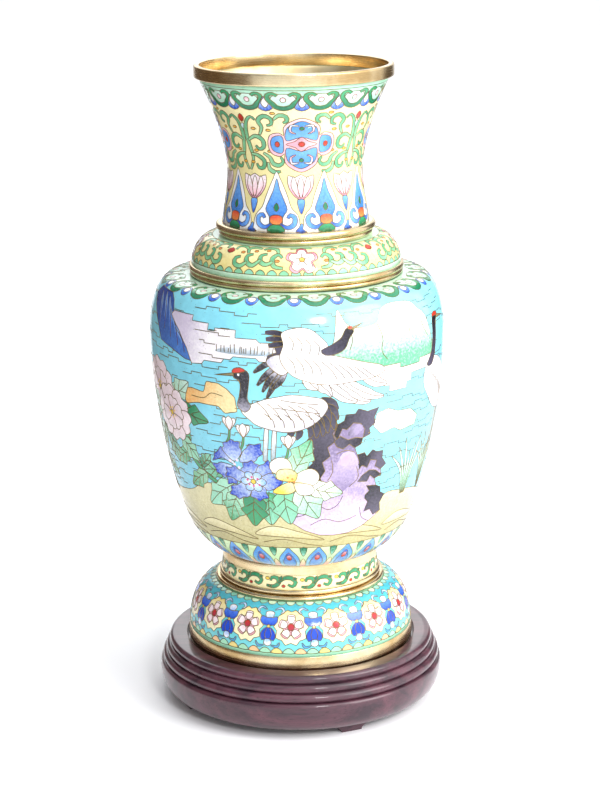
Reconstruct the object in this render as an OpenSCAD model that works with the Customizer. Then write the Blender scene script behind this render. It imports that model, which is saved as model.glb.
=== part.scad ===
// Cloisonne vase with a crane scene, standing in a turned rosewood stand.
// Millimetres, +Z up. The origin is the centre of the stand's underside and
// the crane scene faces -Y. Everything above the stand is stacked on its seat.

/* [Vase heights] */
// Height of the brass ring round the vase's foot
foot_ring_h = 12; // [8:0.5:16]
// Height of the enamelled dome of the foot
foot_h = 31; // [26:0.5:38]
// Height of the brass ring on top of the foot dome
stem_ring_h = 6.5; // [5:0.25:9]
// Height of the enamelled stem between foot and body
stem_h = 9.5; // [8:0.5:14]
// Height of the brass band at the waist, under the body
waist_band_h = 7; // [5:0.5:10]
// Height of the enamelled body, from waist band to collar ring
body_h = 182.5; // [150:0.5:220]
// Height of the brass ring under the collar
collar_ring_h = 7; // [5:0.5:9]
// Height of the domed, enamelled collar
collar_h = 18; // [15:0.5:23]
// Height of the brass ring under the neck
neck_ring_h = 8.5; // [7:0.5:11]
// Height of the enamelled neck
neck_h = 91; // [75:0.5:110]
// Height of the brass rim band at the mouth
rim_h = 8; // [6:0.5:12]

/* [Vase radii, outside of the enamel] */
// Radius of the foot dome where it meets the foot ring
foot_r = 74; // [70:0.2:90]
// Width of the foot dome's level top, round the stem ring
foot_shelf = 4; // [3.9:0.1:8]
// Radius of the stem at its top, which the waist band also follows
stem_r = 51; // [42:0.5:62]
// How much wider the stem is at its bottom
stem_flare = 1; // [0.5:0.25:3]
// How far the body's underside starts beyond the stem
body_base_step = 1; // [0.5:0.25:3]
// Largest radius of the body
body_r = 95; // [86:0.5:116]
// Height of the round shoulder above the largest radius
shoulder_h = 36.5; // [28:0.5:45]
// Width of the round shoulder, from the largest radius to the flat top
shoulder_w = 14; // [10:0.5:16]
// Depth of the hip inside the largest radius, where the bowl of the underside ends
hip_in = 22; // [18:0.5:24]
// Height of the hip above the waist band
hip_z = 22; // [18:0.5:27]
// Height of the rise of the shoulder's flat top towards the collar
shoulder_rise = 1; // [0.5:0.25:2]
// Radius of the collar where it meets its ring
collar_r = 67.4; // [62:0.1:74]
// Width of the collar's level top, round the neck
collar_shelf = 7.2; // [5:0.1:9]
// Radius of the neck where it meets its ring
neck_base_r = 46.8; // [44:0.2:54]
// Radius of the neck at its narrowest
neck_r = 42.8; // [35:0.2:44]
// Height of the narrowest place above the neck ring
neck_waist_z = 33; // [28:0.5:40]
// Radius of the enamel at the top of the neck, under the rim
mouth_r = 60.3; // [52:0.1:72]

/* [Walls and wires] */
// Thickness of the enamel on the outside
enamel_t = 1.2; // [0.8:0.1:1.5]
// Thickness of the spun copper under the enamel
copper_t = 1.2; // [0.8:0.1:2]
// Thickness of the counter enamel inside the body and under the base
lining_t = 0.8; // [0.5:0.1:1.2]
// Width of a cloison wire
wire_w = 0.5; // [0.3:0.1:0.8]
// Thickness of the copper plate that closes the vase
base_plate_t = 1.2; // [1:0.1:2]
// Height of that plate above the bottom of the foot ring
base_rise = 4; // [2.5:0.5:6]

/* [Brass rings] */
// How far the rim band stands out beyond the enamel
rim_proud = 2.7; // [1.5:0.1:4]
// Width of the rim's ring, from outside to the bore of the mouth
rim_w = 3.6; // [3:0.1:5]
// How far the foot ring stands out beyond the enamel
foot_ring_proud = 0.6; // [0.2:0.1:1.5]
// Width of the lip that the foot shell stands on
foot_lip_w = 5; // [3:0.5:8]
// Thickness of that lip
foot_lip_t = 1.5; // [1:0.1:2.5]
// How far the waist band stands out beyond the stem
waist_proud = 0.6; // [0.2:0.1:1.5]
// How far the stem ring's upper bead stands out beyond the stem
stem_bead_proud = 1.4; // [1:0.1:3]
// How far its lower bead stands out beyond the stem
stem_low_proud = 3.8; // [3:0.1:3.9]
// How far the collar ring's upper bead stands out beyond the collar
collar_bead_proud = 1.6; // [0.8:0.1:3]
// How far its lower bead stands out beyond the collar
collar_low_proud = 1; // [0.5:0.1:3]
// How far the neck ring's upper bead stands out beyond the neck
neck_bead_proud = 4.4; // [3:0.1:6]
// How far its lower bead stands out beyond the neck
neck_low_proud = 2.4; // [1.5:0.1:4]

/* [Enamel borders, distances from the nearer ring] */
// Line under the rim
neck_line_1 = 2.6; // [2:0.1:4]
// Bottom line of the scroll border on the neck
neck_line_2 = 15.5; // [13:0.5:19]
// Height of the petal border at the foot of the neck
neck_petal_h = 33; // [26:0.5:38]
// Border lines of the collar
collar_line = 3; // [2:0.1:4]
// Distance of the line round the shoulder's scroll border from the largest radius
shoulder_line_in = 9; // [6:0.5:11]
// Height of the petal border at the foot of the body
body_petal_h = 12; // [9:0.5:15]
// Height of the ground line of the scene above the waist band
ground_line_z = 20; // [18:0.5:24]
// Border lines of the stem
stem_line = 1.2; // [1:0.1:2]
// Border lines of the foot dome
foot_line = 4.5; // [3:0.1:6]

/* [Stand] */
// Height of the flat land on top of the stand
stand_h = 42; // [36:0.5:50]
// Depth of the recess that the foot ring stands in
recess_depth = 4; // [3:0.5:6]
// Gap all round between the foot ring and the recess
seat_gap = 1.4; // [0.6:0.1:3]
// Width of the land, from the recess to the first reed
land_w = 8.8; // [6:0.2:14]
// Radius of the turned reeds
reed_r = 2.9; // [2:0.1:3.4]
// Drop from one reed to the next
reed_drop = 5.4; // [5.2:0.1:6.4]
// How far each reed stands out beyond the one above
reed_step = 2.4; // [0.6:0.1:2.6]
// How far the apron's bulge stands out beyond the middle of the lowest reed
apron_bulge = 4.9; // [3.5:0.1:7]
// How far the apron draws in again at its bottom
apron_tuck = 9; // [5:0.5:12]
// Width of the ledge that the floor board is glued to
ledge_w = 4; // [3:0.5:8]
// Thickness of the floor board
floor_t = 7; // [5:0.5:10]
// Thickness of the apron's wall at the bottom
apron_wall = 11; // [8:0.5:16]

/* [Stand feet] */
// Number of bracket feet
foot_count = 4; // [3:1:6]
// Direction of the first foot, turned from -Y towards +X
foot_turn = 23; // [0:1:45]
// Height of a foot
stand_foot_h = 5.5; // [4:0.5:9]
// Width of a foot where it meets the apron
stand_foot_top_w = 29; // [22:1:40]
// Width of a foot on the ground
stand_foot_low_w = 14; // [10:1:20]
// Depth of a foot towards the middle
stand_foot_depth = 10; // [8:0.5:14]
// Radius of the dowel that holds a foot
dowel_r = 2; // [1.5:0.25:3]
// Length of that dowel
dowel_l = 12; // [9:0.5:16]

/* [Hidden] */
$fn = 96;
STEPS = 16; // steps of each curve of the outline
FAR = 400;  // larger than anything that is cut with it

// Heights of the joints, from the ground up
seat_z = stand_h - recess_depth;
foot_ring_top = seat_z + foot_ring_h;
foot_top = foot_ring_top + foot_h;
stem_ring_top = foot_top + stem_ring_h;
stem_top = stem_ring_top + stem_h;
waist_top = stem_top + waist_band_h;
body_top = waist_top + body_h;
collar_ring_top = body_top + collar_ring_h;
collar_top = collar_ring_top + collar_h;
neck_ring_top = collar_top + neck_ring_h;
neck_top = neck_ring_top + neck_h;
vase_top = neck_top + rim_h;

// Radii that follow from those above
stem_low_r = stem_r + stem_flare;
body_base_r = stem_r + body_base_step;
foot_top_r = stem_low_r + foot_shelf;
hip_r = body_r - hip_in;
shoulder_r = body_r - shoulder_w;
belly_z = body_h - shoulder_h;
collar_top_r = neck_base_r + collar_shelf;
rim_r = mouth_r + rim_proud;
shoulder_line_r = body_r - shoulder_line_in;

// Outside radii of the copper where one spun section is sleeved to the next
foot_joint_r = foot_r - enamel_t;
stem_ring_joint_r = stem_low_r - enamel_t;
waist_joint_r = stem_r - enamel_t;
collar_joint_r = collar_r - enamel_t;
neck_joint_r = neck_base_r - enamel_t;
rim_joint_r = mouth_r - enamel_t;
mouth_bore_r = rim_r - rim_w;

// Heights at which the sections meet, hidden behind the rings
foot_shell_z = seat_z + foot_lip_t;
stem_mid = foot_top + stem_ring_h / 2;
waist_mid = stem_top + waist_band_h / 2;
collar_mid = body_top + collar_ring_h / 2;
neck_mid = collar_top + neck_ring_h / 2;

// Stand
recess_r = foot_r + foot_ring_proud + seat_gap;
land_r = recess_r + land_w;
reed_z = [for (i = [0:2]) stand_h - reed_r - i * reed_drop];
reed_c = [for (i = [0:2]) land_r + i * reed_step];
apron_top = reed_z[2] - reed_r;
apron_r = reed_c[2] + apron_bulge;
apron_low_r = apron_r - apron_tuck;
apron_in_r = apron_low_r - apron_wall;
floor_r = recess_r + ledge_w;
floor_z = seat_z - floor_t;
stand_foot_r = apron_low_r - 1;

// ---- Curves -------------------------------------------------------------

// Points of a cubic curve from a to d with handles b and c, without d
function curve(a, b, c, d, n = STEPS) =
    [for (i = [0:n - 1]) let (t = i / n, s = 1 - t)
        s * s * s * a + 3 * s * s * t * b + 3 * s * t * t * c + t * t * t * d];

function unit(v) = v / norm(v);

// Left-hand normal, which points inwards on an outline drawn from bottom to top
function left(v) = [-v[1], v[0]];

// The outline moved inwards by t, with its two ends given
function inner(path, t, first, last) =
    concat([first],
           [for (i = [1:len(path) - 2])
               let (n0 = left(unit(path[i] - path[i - 1])),
                    n1 = left(unit(path[i + 1] - path[i])),
                    n = unit(n0 + n1))
               path[i] + n * t / (n * n0)],
           [last]);

function reversed(path) = [for (i = [len(path) - 1:-1:0]) path[i]];

module between(outside, inside) polygon(concat(outside, reversed(inside)));

// ---- Outside of the enamel, each section from its bottom to its top -----

foot_path = concat(
    curve([foot_r, foot_ring_top],
          [foot_r - 0.4, foot_ring_top + foot_h * 0.42],
          [foot_top_r + (foot_r - foot_top_r) * 0.75, foot_top - foot_h * 0.08],
          [foot_top_r, foot_top]),
    [[foot_top_r, foot_top], [stem_ring_joint_r, foot_top]]);

stem_path = [[stem_low_r, stem_ring_top],
             [(stem_low_r + stem_r) / 2, (stem_ring_top + stem_top) / 2],
             [stem_r, stem_top]];

shoulder_z = body_top - shoulder_rise;
body_path = concat(
    curve([body_base_r, waist_top],
          [body_base_r + (hip_r - body_base_r) * 0.43, waist_top + hip_z * 0.16],
          [hip_r - (hip_r - body_base_r) * 0.17, waist_top + hip_z * 0.61],
          [hip_r, waist_top + hip_z]),
    curve([hip_r, waist_top + hip_z],
          [hip_r + (body_r - hip_r) * 0.37, waist_top + hip_z * 1.9],
          [body_r, waist_top + belly_z * 0.66],
          [body_r, waist_top + belly_z]),
    curve([body_r, waist_top + belly_z],
          [body_r, waist_top + belly_z + (body_h - belly_z) * 0.46],
          [shoulder_r + (body_r - shoulder_r) * 0.62, shoulder_z - 1.3],
          [shoulder_r, shoulder_z]),
    [[shoulder_r, shoulder_z], [collar_joint_r, body_top]]);

collar_path = concat(
    curve([collar_r, collar_ring_top],
          [collar_r - 0.6, collar_ring_top + collar_h * 0.45],
          [collar_top_r + (collar_r - collar_top_r) * 0.6, collar_top - 0.4],
          [collar_top_r, collar_top]),
    [[collar_top_r, collar_top], [neck_joint_r, collar_top]]);

neck_path = concat(
    curve([neck_base_r, neck_ring_top],
          [neck_base_r - 0.8, neck_ring_top + neck_waist_z * 0.3],
          [neck_r, neck_ring_top + neck_waist_z * 0.6],
          [neck_r, neck_ring_top + neck_waist_z]),
    curve([neck_r, neck_ring_top + neck_waist_z],
          [neck_r + 0.4, neck_ring_top + neck_waist_z + (neck_h - neck_waist_z) * 0.3],
          [neck_r + (mouth_r - neck_r) * 0.55, neck_top - (neck_h - neck_waist_z) * 0.26],
          [mouth_r, neck_top]),
    [[mouth_r, neck_top]]);

// The copper under each enamel, on the same curves
foot_bed = inner(foot_path, enamel_t, [foot_joint_r, foot_ring_top],
                 [stem_ring_joint_r, foot_top - enamel_t]);
stem_bed = inner(stem_path, enamel_t, [stem_ring_joint_r, stem_ring_top],
                 [waist_joint_r, stem_top]);
body_bed = inner(body_path, enamel_t, [waist_joint_r, waist_top],
                 [collar_joint_r, body_top - enamel_t]);
collar_bed = inner(collar_path, enamel_t, [collar_joint_r, collar_ring_top],
                   [neck_joint_r, collar_top - enamel_t]);
neck_bed = inner(neck_path, enamel_t, [neck_joint_r, neck_ring_top],
                 [rim_joint_r, neck_top]);

// The copper runs on behind the rings as short sleeves
function sleeved(bed, low_r, low_z, high_r, high_z) =
    concat([[low_r, low_z]], bed, [[high_r, high_z]]);

foot_out = sleeved(foot_bed, foot_joint_r, foot_shell_z, stem_ring_joint_r, stem_mid);
stem_out = sleeved(stem_bed, stem_ring_joint_r, stem_mid, waist_joint_r, waist_mid);
body_out = sleeved(body_bed, waist_joint_r, waist_mid, collar_joint_r, collar_mid);
collar_out = sleeved(collar_bed, collar_joint_r, collar_mid, neck_joint_r, neck_mid);
neck_out = concat([[neck_joint_r, neck_mid]], neck_bed);

// The inside of such a section
function wall_in(path, t) =
    let (last = len(path) - 1)
    inner(path, t, path[0] - [t, 0], path[last] - [t, 0]);

module shell(path) rotate_extrude() between(path, wall_in(path, copper_t));

// ---- Enamel and the wires that divide it --------------------------------

// Thin level strips across an enamel's section, one for each wire ring
module level_strips(heights)
    for (z = heights) translate([0, z - wire_w / 2]) square([FAR, wire_w]);

module upright_strips(radii)
    for (r = radii) translate([r - wire_w / 2, 0]) square([wire_w, 2 * FAR]);

neck_lines = [neck_top - neck_line_1, neck_top - neck_line_2,
              neck_ring_top + neck_petal_h];
collar_lines = [collar_ring_top + collar_line, collar_top - collar_line];
body_lines = [waist_top + body_petal_h, waist_top + ground_line_z];
stem_lines = [stem_ring_top + stem_line, stem_top - stem_line];
foot_lines = [foot_ring_top + foot_line, foot_top - foot_line];

// The line round the shoulder border cuts only the top of the body
module shoulder_strip() intersection() {
    upright_strips([shoulder_line_r]);
    translate([0, waist_top + belly_z]) square([FAR, FAR]);
}

module enamel(path, bed, lines) rotate_extrude() difference() {
    between(path, bed);
    level_strips(lines);
}

module wires(path, bed, lines) rotate_extrude() intersection() {
    between(path, bed);
    level_strips(lines);
}

// ---- Brass --------------------------------------------------------------

// A ring with two round beads, one above the other, bored to in_r
module two_beads(z0, h, in_r, low_r, high_r) {
    low_h = h * 0.45;
    high_h = h - low_h;
    rotate_extrude() intersection() {
        union() {
            translate([in_r, z0]) square([low_r - low_h / 2 - in_r, low_h]);
            translate([low_r - low_h / 2, z0 + low_h / 2]) circle(r = low_h / 2);
            translate([in_r, z0 + low_h]) square([high_r - high_h / 2 - in_r, high_h]);
            translate([high_r - high_h / 2, z0 + low_h + high_h / 2])
                circle(r = high_h / 2);
        }
        translate([in_r, 0]) square([FAR, 2 * FAR]);
    }
}

// A band whose face is slightly crowned
module crowned_band(z0, h, in_r, out_r) rotate_extrude() intersection() {
    translate([in_r, z0]) square([out_r - in_r, h]);
    translate([out_r - 2.2 * h, z0 + h / 2]) circle(r = 2.2 * h);
}

module rim_band() color("goldenrod") {
    edge = rim_w * 0.35;
    rotate_extrude() {
        translate([mouth_bore_r, neck_top]) square([rim_w - edge, rim_h]);
        translate([mouth_bore_r, neck_top + edge]) square([rim_w, rim_h - 2 * edge]);
        for (z = [neck_top + edge, vase_top - edge])
            translate([rim_r - edge, z]) circle(r = edge);
    }
}

module neck_ring() color("goldenrod")
    two_beads(collar_top, neck_ring_h, neck_joint_r,
              neck_base_r + neck_low_proud, neck_base_r + neck_bead_proud);

module collar_ring() color("goldenrod")
    two_beads(body_top, collar_ring_h, collar_joint_r,
              collar_r + collar_low_proud, collar_r + collar_bead_proud);

module waist_band() color("goldenrod") {
    crowned_band(stem_top, waist_band_h, waist_joint_r, stem_r + waist_proud);
}

module stem_ring() color("goldenrod")
    two_beads(foot_top, stem_ring_h, stem_ring_joint_r, stem_low_r + stem_low_proud,
              stem_low_r + stem_bead_proud);

module foot_ring() color("goldenrod") {
    crowned_band(seat_z, foot_ring_h, foot_joint_r, foot_r + foot_ring_proud);
    rotate_extrude() translate([foot_joint_r - foot_lip_w, seat_z])
        square([foot_lip_w + 0.4, foot_lip_t]);
}

// ---- Copper shells and their linings ------------------------------------

module neck_shell() color("peru") shell(neck_out);
module collar_shell() color("peru") shell(collar_out);
module body_shell() color("peru") shell(body_out);
module stem_shell() color("peru") shell(stem_out);
module foot_shell() color("peru") shell(foot_out);

// Counter enamel inside the body, between the two sleeves
module body_lining() color("steelblue") {
    wall = wall_in(body_out, copper_t);
    last = len(wall) - 1;
    side = [for (i = [2:last - 2]) wall[i]];
    ends = len(side) - 1;
    rotate_extrude()
        between(side, inner(side, lining_t, side[0] + lining_t * [-0.3, 1],
                            side[ends] - [0, lining_t]));
}

module base_plate() color("peru")
    translate([0, 0, seat_z + base_rise])
        cylinder(r = foot_joint_r - copper_t, h = base_plate_t);

module base_enamel() color("royalblue")
    translate([0, 0, seat_z + base_rise - lining_t])
        cylinder(r = foot_joint_r - copper_t, h = lining_t);

// ---- Enamels ------------------------------------------------------------

module neck_enamel() color("khaki") enamel(neck_path, neck_bed, neck_lines);
module neck_wires() color("gold") wires(neck_path, neck_bed, neck_lines);

module collar_enamel() color("khaki") enamel(collar_path, collar_bed, collar_lines);
module collar_wires() color("gold") wires(collar_path, collar_bed, collar_lines);

module body_enamel() color("turquoise") rotate_extrude() difference() {
    between(body_path, body_bed);
    level_strips(body_lines);
    shoulder_strip();
}
module body_wires() color("gold") rotate_extrude() intersection() {
    between(body_path, body_bed);
    union() {
        level_strips(body_lines);
        shoulder_strip();
    }
}

module stem_enamel() color("darkgreen") enamel(stem_path, stem_bed, stem_lines);
module stem_wires() color("gold") wires(stem_path, stem_bed, stem_lines);

module foot_enamel() color("turquoise") enamel(foot_path, foot_bed, foot_lines);
module foot_wires() color("gold") wires(foot_path, foot_bed, foot_lines);

// ---- Stand --------------------------------------------------------------

// Turned ring with a recess for the vase, a ledge for the floor and three reeds
module stand_ring() color([0.25, 0.09, 0.09]) rotate_extrude() difference() {
    union() {
        translate([recess_r, apron_top]) square([land_r - recess_r, stand_h - apron_top]);
        for (i = [0:2]) {
            translate([reed_c[i], reed_z[i]]) circle(r = reed_r);
            translate([land_r - 1, reed_z[i] - reed_r])
                square([reed_c[i] - land_r + 1, 2 * reed_r]);
        }
    }
    translate([0, 0]) square([floor_r, seat_z]);
}

// Bulging ring under it, drawn in towards the feet
apron_path = concat(
    [[apron_low_r, stand_foot_h]],
    curve([apron_low_r, stand_foot_h],
          [apron_r - 1.5, stand_foot_h + 1],
          [apron_r + 0.4, (stand_foot_h + apron_top) / 2 + 2],
          [apron_r - 0.6, apron_top - 1.5], 12),
    [[apron_r - 0.6, apron_top - 1.5], [apron_r - 1.4, apron_top - 0.3],
     [apron_r - 2.4, apron_top]]);

module stand_apron() color([0.25, 0.09, 0.09]) difference() {
    rotate_extrude() polygon(concat([[apron_in_r, stand_foot_h]],
        [for (i = [1:len(apron_path) - 1]) apron_path[i]], [[apron_in_r, apron_top]]));
    dowels();
}

module stand_floor() color([0.3, 0.12, 0.1])
    translate([0, 0, floor_z]) cylinder(r = floor_r, h = floor_t);

// Front outline of a bracket foot: an S-curve each side from the apron to the ground
foot_side = [for (i = [0:8]) let (t = i / 8)
    [stand_foot_low_w / 2
     + (stand_foot_top_w - stand_foot_low_w) / 2 * (1 - cos(90 * pow(t, 1.5))),
     stand_foot_h * t]];

module stand_foot(i) color([0.25, 0.09, 0.09])
    rotate(foot_turn + (i - 1) * 360 / foot_count) difference() {
        intersection() {
            translate([0, -FAR / 8, 0]) rotate([90, 0, 0])
                linear_extrude(FAR / 4) polygon(concat(foot_side,
                    [for (p = reversed(foot_side)) [-p[0], p[1]]]));
            rotate_extrude() polygon([
                [stand_foot_r - stand_foot_depth, 0], [stand_foot_r - 1.6, 0],
                [stand_foot_r - 0.6, stand_foot_h * 0.5], [stand_foot_r, stand_foot_h],
                [stand_foot_r - stand_foot_depth, stand_foot_h]]);
        }
        foot_dowel();
    }

// The dowel of the foot that faces -Y
module foot_dowel()
    translate([0, stand_foot_depth / 2 - stand_foot_r, stand_foot_h - dowel_l / 4])
        cylinder(r = dowel_r, h = dowel_l);

module dowels()
    for (i = [0:foot_count - 1])
        rotate(foot_turn + i * 360 / foot_count) foot_dowel();

module foot_dowels() color("burlywood") dowels();

// ---- Drawn pieces -------------------------------------------------------

rim_band();
neck_shell();
neck_enamel();
neck_wires();
neck_ring();
collar_shell();
collar_enamel();
collar_wires();
collar_ring();
body_shell();
body_enamel();
body_wires();
body_lining();
waist_band();
stem_shell();
stem_enamel();
stem_wires();
stem_ring();
foot_shell();
foot_enamel();
foot_wires();
foot_ring();
base_plate();
base_enamel();
stand_ring();
stand_apron();
stand_floor();
for (i = [1:foot_count])
    stand_foot(i);
foot_dowels();
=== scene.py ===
import math
import random
import bmesh
import bpy
from mathutils import Matrix, Vector
from mathutils.geometry import delaunay_2d_cdt


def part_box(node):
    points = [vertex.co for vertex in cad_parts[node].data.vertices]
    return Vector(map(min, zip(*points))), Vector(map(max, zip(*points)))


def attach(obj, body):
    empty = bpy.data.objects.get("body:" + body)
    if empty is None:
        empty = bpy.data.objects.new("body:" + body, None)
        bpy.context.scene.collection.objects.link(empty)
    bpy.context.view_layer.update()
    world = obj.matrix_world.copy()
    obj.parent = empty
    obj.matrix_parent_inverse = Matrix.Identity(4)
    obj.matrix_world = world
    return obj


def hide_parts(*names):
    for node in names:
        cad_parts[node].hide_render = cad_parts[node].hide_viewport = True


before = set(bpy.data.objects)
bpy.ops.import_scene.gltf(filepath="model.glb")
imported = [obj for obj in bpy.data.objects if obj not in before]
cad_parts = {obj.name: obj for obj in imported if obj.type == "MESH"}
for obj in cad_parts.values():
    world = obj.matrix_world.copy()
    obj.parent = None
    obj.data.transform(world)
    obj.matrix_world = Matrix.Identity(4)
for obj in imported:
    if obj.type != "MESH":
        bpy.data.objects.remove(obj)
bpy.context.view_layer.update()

MM = 0.001

# ---- Brass rings: rim band, neck, collar, waist, stem and foot rings ----
# Real pieces: rings of cast and lathe-turned brass, soldered over the joints of the copper sections,
# polished and gilded after the last firing. Each stays the ring that the section drawing gives.
WELD = 0.002 * MM
SLICE_TURN = 0.0004      # radians off the seam at which a section is cut, to miss its vertices
ON_CUT = 1e-8            # m, a vertex nearer to the cut than this lies on it
OFF_AXIS = 1e-5          # m, a section is taken from the side of the axis beyond this
CORNER = math.radians(24)        # a turn in the section sharper than this is an edge to ease
EASE_SHARE = 0.4         # the most of a side that its eased corner takes
EASE_POINTS = 4          # points on an eased corner
TURN_STEPS = 192         # facets round a turned ring


def outline(node):
    """The closed section loops of a turned CAD node as (radius, height) in metres, longest first."""
    body = bmesh.new()
    body.from_mesh(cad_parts[node].data)
    bmesh.ops.remove_doubles(body, verts=body.verts, dist=WELD)
    across = Vector((-math.sin(SLICE_TURN), math.cos(SLICE_TURN), 0))
    parts = body.verts[:] + body.edges[:] + body.faces[:]
    cut = bmesh.ops.bisect_plane(body, geom=parts, dist=ON_CUT, plane_co=(0, 0, 0), plane_no=across)
    beside = {}
    for part in cut["geom_cut"]:
        if isinstance(part, bmesh.types.BMEdge) and max(v.co.x for v in part.verts) > OFF_AXIS:
            a, b = part.verts
            beside.setdefault(a, []).append(b)
            beside.setdefault(b, []).append(a)
    loops, used = [], set()
    for first in beside:
        if first in used:
            continue
        loop, here = [], first
        while here is not None:
            used.add(here)
            loop.append((math.hypot(here.co.x, here.co.y), here.co.z))
            here = next((v for v in beside[here] if v not in used), None)
        loops.append(cleared(loop))
    body.free()
    return sorted(loops, key=len, reverse=True)


def cleared(loop, near=0.03 * MM, bend=math.radians(0.6)):
    """A closed loop without the points that are doubled or lie on a straight run."""
    kept = [p for i, p in enumerate(loop) if math.dist(p, loop[i - 1]) > near]
    return [p for i, p in enumerate(kept)
            if abs(turn_at(kept[i - 1], p, kept[(i + 1) % len(kept)])) > bend]


def turn_at(before, here, after):
    """The signed change of direction at a point of a path, in radians."""
    first = math.atan2(here[1] - before[1], here[0] - before[0])
    second = math.atan2(after[1] - here[1], after[0] - here[0])
    return (second - first + math.pi) % (2 * math.pi) - math.pi


def eased(loop, ease, seated):
    """A closed loop with its sharp corners rounded off; a seated one keeps them crisp at its foot."""
    made, seat = [], min(z for _, z in loop) + WELD if seated else -1
    for i, here in enumerate(loop):
        before, after = loop[i - 1], loop[(i + 1) % len(loop)]
        if abs(turn_at(before, here, after)) < CORNER or here[1] < seat:
            made.append(here)
            continue
        reach = min(ease, EASE_SHARE * math.dist(before, here), EASE_SHARE * math.dist(here, after))
        start, end = (tuple(h + (p - h) * reach / math.dist(here, other) for h, p in zip(here, other))
                      for other in (before, after))
        for k in range(EASE_POINTS):
            t = k / (EASE_POINTS - 1)
            made.append(tuple((1 - t) ** 2 * a + 2 * t * (1 - t) * h + t * t * b
                              for a, h, b in zip(start, here, end)))
    return made


def put(tree, kind, inputs=(), **settings):
    """Adds a node with its settings; inputs are (socket, value or another node's output) pairs."""
    node = tree.nodes.new(kind)
    for name, value in settings.items():
        setattr(node, name, value)
    for socket, value in inputs:
        if isinstance(value, bpy.types.NodeSocket):
            tree.links.new(value, node.inputs[socket])
        else:
            node.inputs[socket].default_value = value
    return node


def new_tree(name, inputs):
    """An empty Geometry Nodes tree with named inputs, and its input and output nodes."""
    tree = bpy.data.node_groups.new(name, "GeometryNodeTree")
    for label, kind in [("Geometry", "Geometry")] + inputs:
        tree.interface.new_socket(label, in_out="INPUT", socket_type="NodeSocket" + kind)
    tree.interface.new_socket("Geometry", in_out="OUTPUT", socket_type="NodeSocketGeometry")
    return tree, put(tree, "NodeGroupInput").outputs, put(tree, "NodeGroupOutput").inputs


def close_tree(tree, shape, finish, result):
    """Ends a tree in Realize Instances and Set Material."""
    solid = put(tree, "GeometryNodeRealizeInstances", [("Geometry", shape)])
    coated = put(tree, "GeometryNodeSetMaterial",
                 [("Geometry", solid.outputs[0]), ("Material", finish)])
    tree.links.new(coated.outputs[0], result["Geometry"])


turning, given, result = new_tree("turn round the axis", [("Steps", "Int"), ("Finish", "Material")])
corners = put(turning, "GeometryNodeAttributeDomainSize", [("Geometry", given["Geometry"])])
rows = put(turning, "ShaderNodeMath", [(0, corners.outputs["Point Count"]), (1, 1.0)])
columns = put(turning, "ShaderNodeMath", [(0, given["Steps"]), (1, 1.0)])
grid = put(turning, "GeometryNodeMeshGrid",
           [("Vertices X", columns.outputs[0]), ("Vertices Y", rows.outputs[0])])
index = put(turning, "GeometryNodeInputIndex")
share = put(turning, "ShaderNodeMath", [(0, index.outputs[0]), (1, rows.outputs[0])],
            operation="DIVIDE")
step = put(turning, "ShaderNodeMath", [(0, share.outputs[0])], operation="FLOOR")
row = put(turning, "ShaderNodeMath", [(0, index.outputs[0]), (1, rows.outputs[0])],
          operation="MODULO")
point = put(turning, "ShaderNodeMath",
            [(0, row.outputs[0]), (1, corners.outputs["Point Count"])], operation="MODULO")
section = put(turning, "GeometryNodeInputPosition")
place = put(turning, "GeometryNodeSampleIndex",
            [("Geometry", given["Geometry"]), ("Value", section.outputs[0]),
             ("Index", point.outputs[0])], data_type="FLOAT_VECTOR")
turned_by = put(turning, "ShaderNodeMath", [(0, step.outputs[0]), (1, given["Steps"])],
                operation="DIVIDE")
angle = put(turning, "ShaderNodeMath", [(0, turned_by.outputs[0]), (1, 2 * math.pi)],
            operation="MULTIPLY")
spun = put(turning, "ShaderNodeVectorRotate",
           [("Vector", place.outputs[0]), ("Angle", angle.outputs[0])], rotation_type="Z_AXIS")
shaped = put(turning, "GeometryNodeSetPosition",
             [("Geometry", grid.outputs["Mesh"]), ("Position", spun.outputs[0])])
closed = put(turning, "GeometryNodeMergeByDistance",
             [("Geometry", shaped.outputs[0]), ("Distance", WELD)])
close_tree(turning, closed.outputs[0], given["Finish"], result)


def path_mesh(name, points, edges):
    """A mesh of points joined by edges."""
    mesh = bpy.data.meshes.new(name)
    mesh.from_pydata(points, edges, [])
    return mesh


def grown(name, mesh, tree, **settings):
    """What a Geometry Nodes tree makes of a mesh, as a plain object."""
    piece = bpy.data.objects.new(name, mesh)
    bpy.context.scene.collection.objects.link(piece)
    growth = piece.modifiers.new("growth", "NODES")
    growth.node_group = tree
    for socket in tree.interface.items_tree:
        if socket.in_out == "INPUT" and socket.name in settings:
            growth[socket.identifier] = settings[socket.name]
    graph = bpy.context.evaluated_depsgraph_get()
    made = bpy.data.meshes.new_from_object(piece.evaluated_get(graph), depsgraph=graph)
    piece.modifiers.clear()
    piece.data = made
    return piece


def smoothed(piece, edge=30):
    """Outward faces and smooth shading, but for edges sharper than edge degrees."""
    shape = bmesh.new()
    shape.from_mesh(piece.data)
    bmesh.ops.recalc_face_normals(shape, faces=shape.faces)
    shape.to_mesh(piece.data)
    shape.free()
    piece.data.shade_smooth()
    piece.data.set_sharp_from_angle(angle=math.radians(edge))


def turned(name, node, body, finish, ease=0.35 * MM, seated=False):
    """A lathe-turned piece that stands for a CAD node: its section, eased at the edges, spun round."""
    points = [(r, 0, z) for r, z in eased(outline(node)[0], ease, seated)]
    edges = [(i, (i + 1) % len(points)) for i in range(len(points))]
    piece = grown(name, path_mesh(name, points, edges), turning, Steps=TURN_STEPS, Finish=finish)
    smoothed(piece)
    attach(piece, body)
    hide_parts(node)


def srgb(colour):
    """A #rrggbb colour as the linear RGBA that shaders take."""
    parts = [int(colour[i:i + 2], 16) / 255 for i in (1, 3, 5)]
    return [p / 12.92 if p <= 0.04045 else ((p + 0.055) / 1.055) ** 2.4 for p in parts] + [1]


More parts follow.
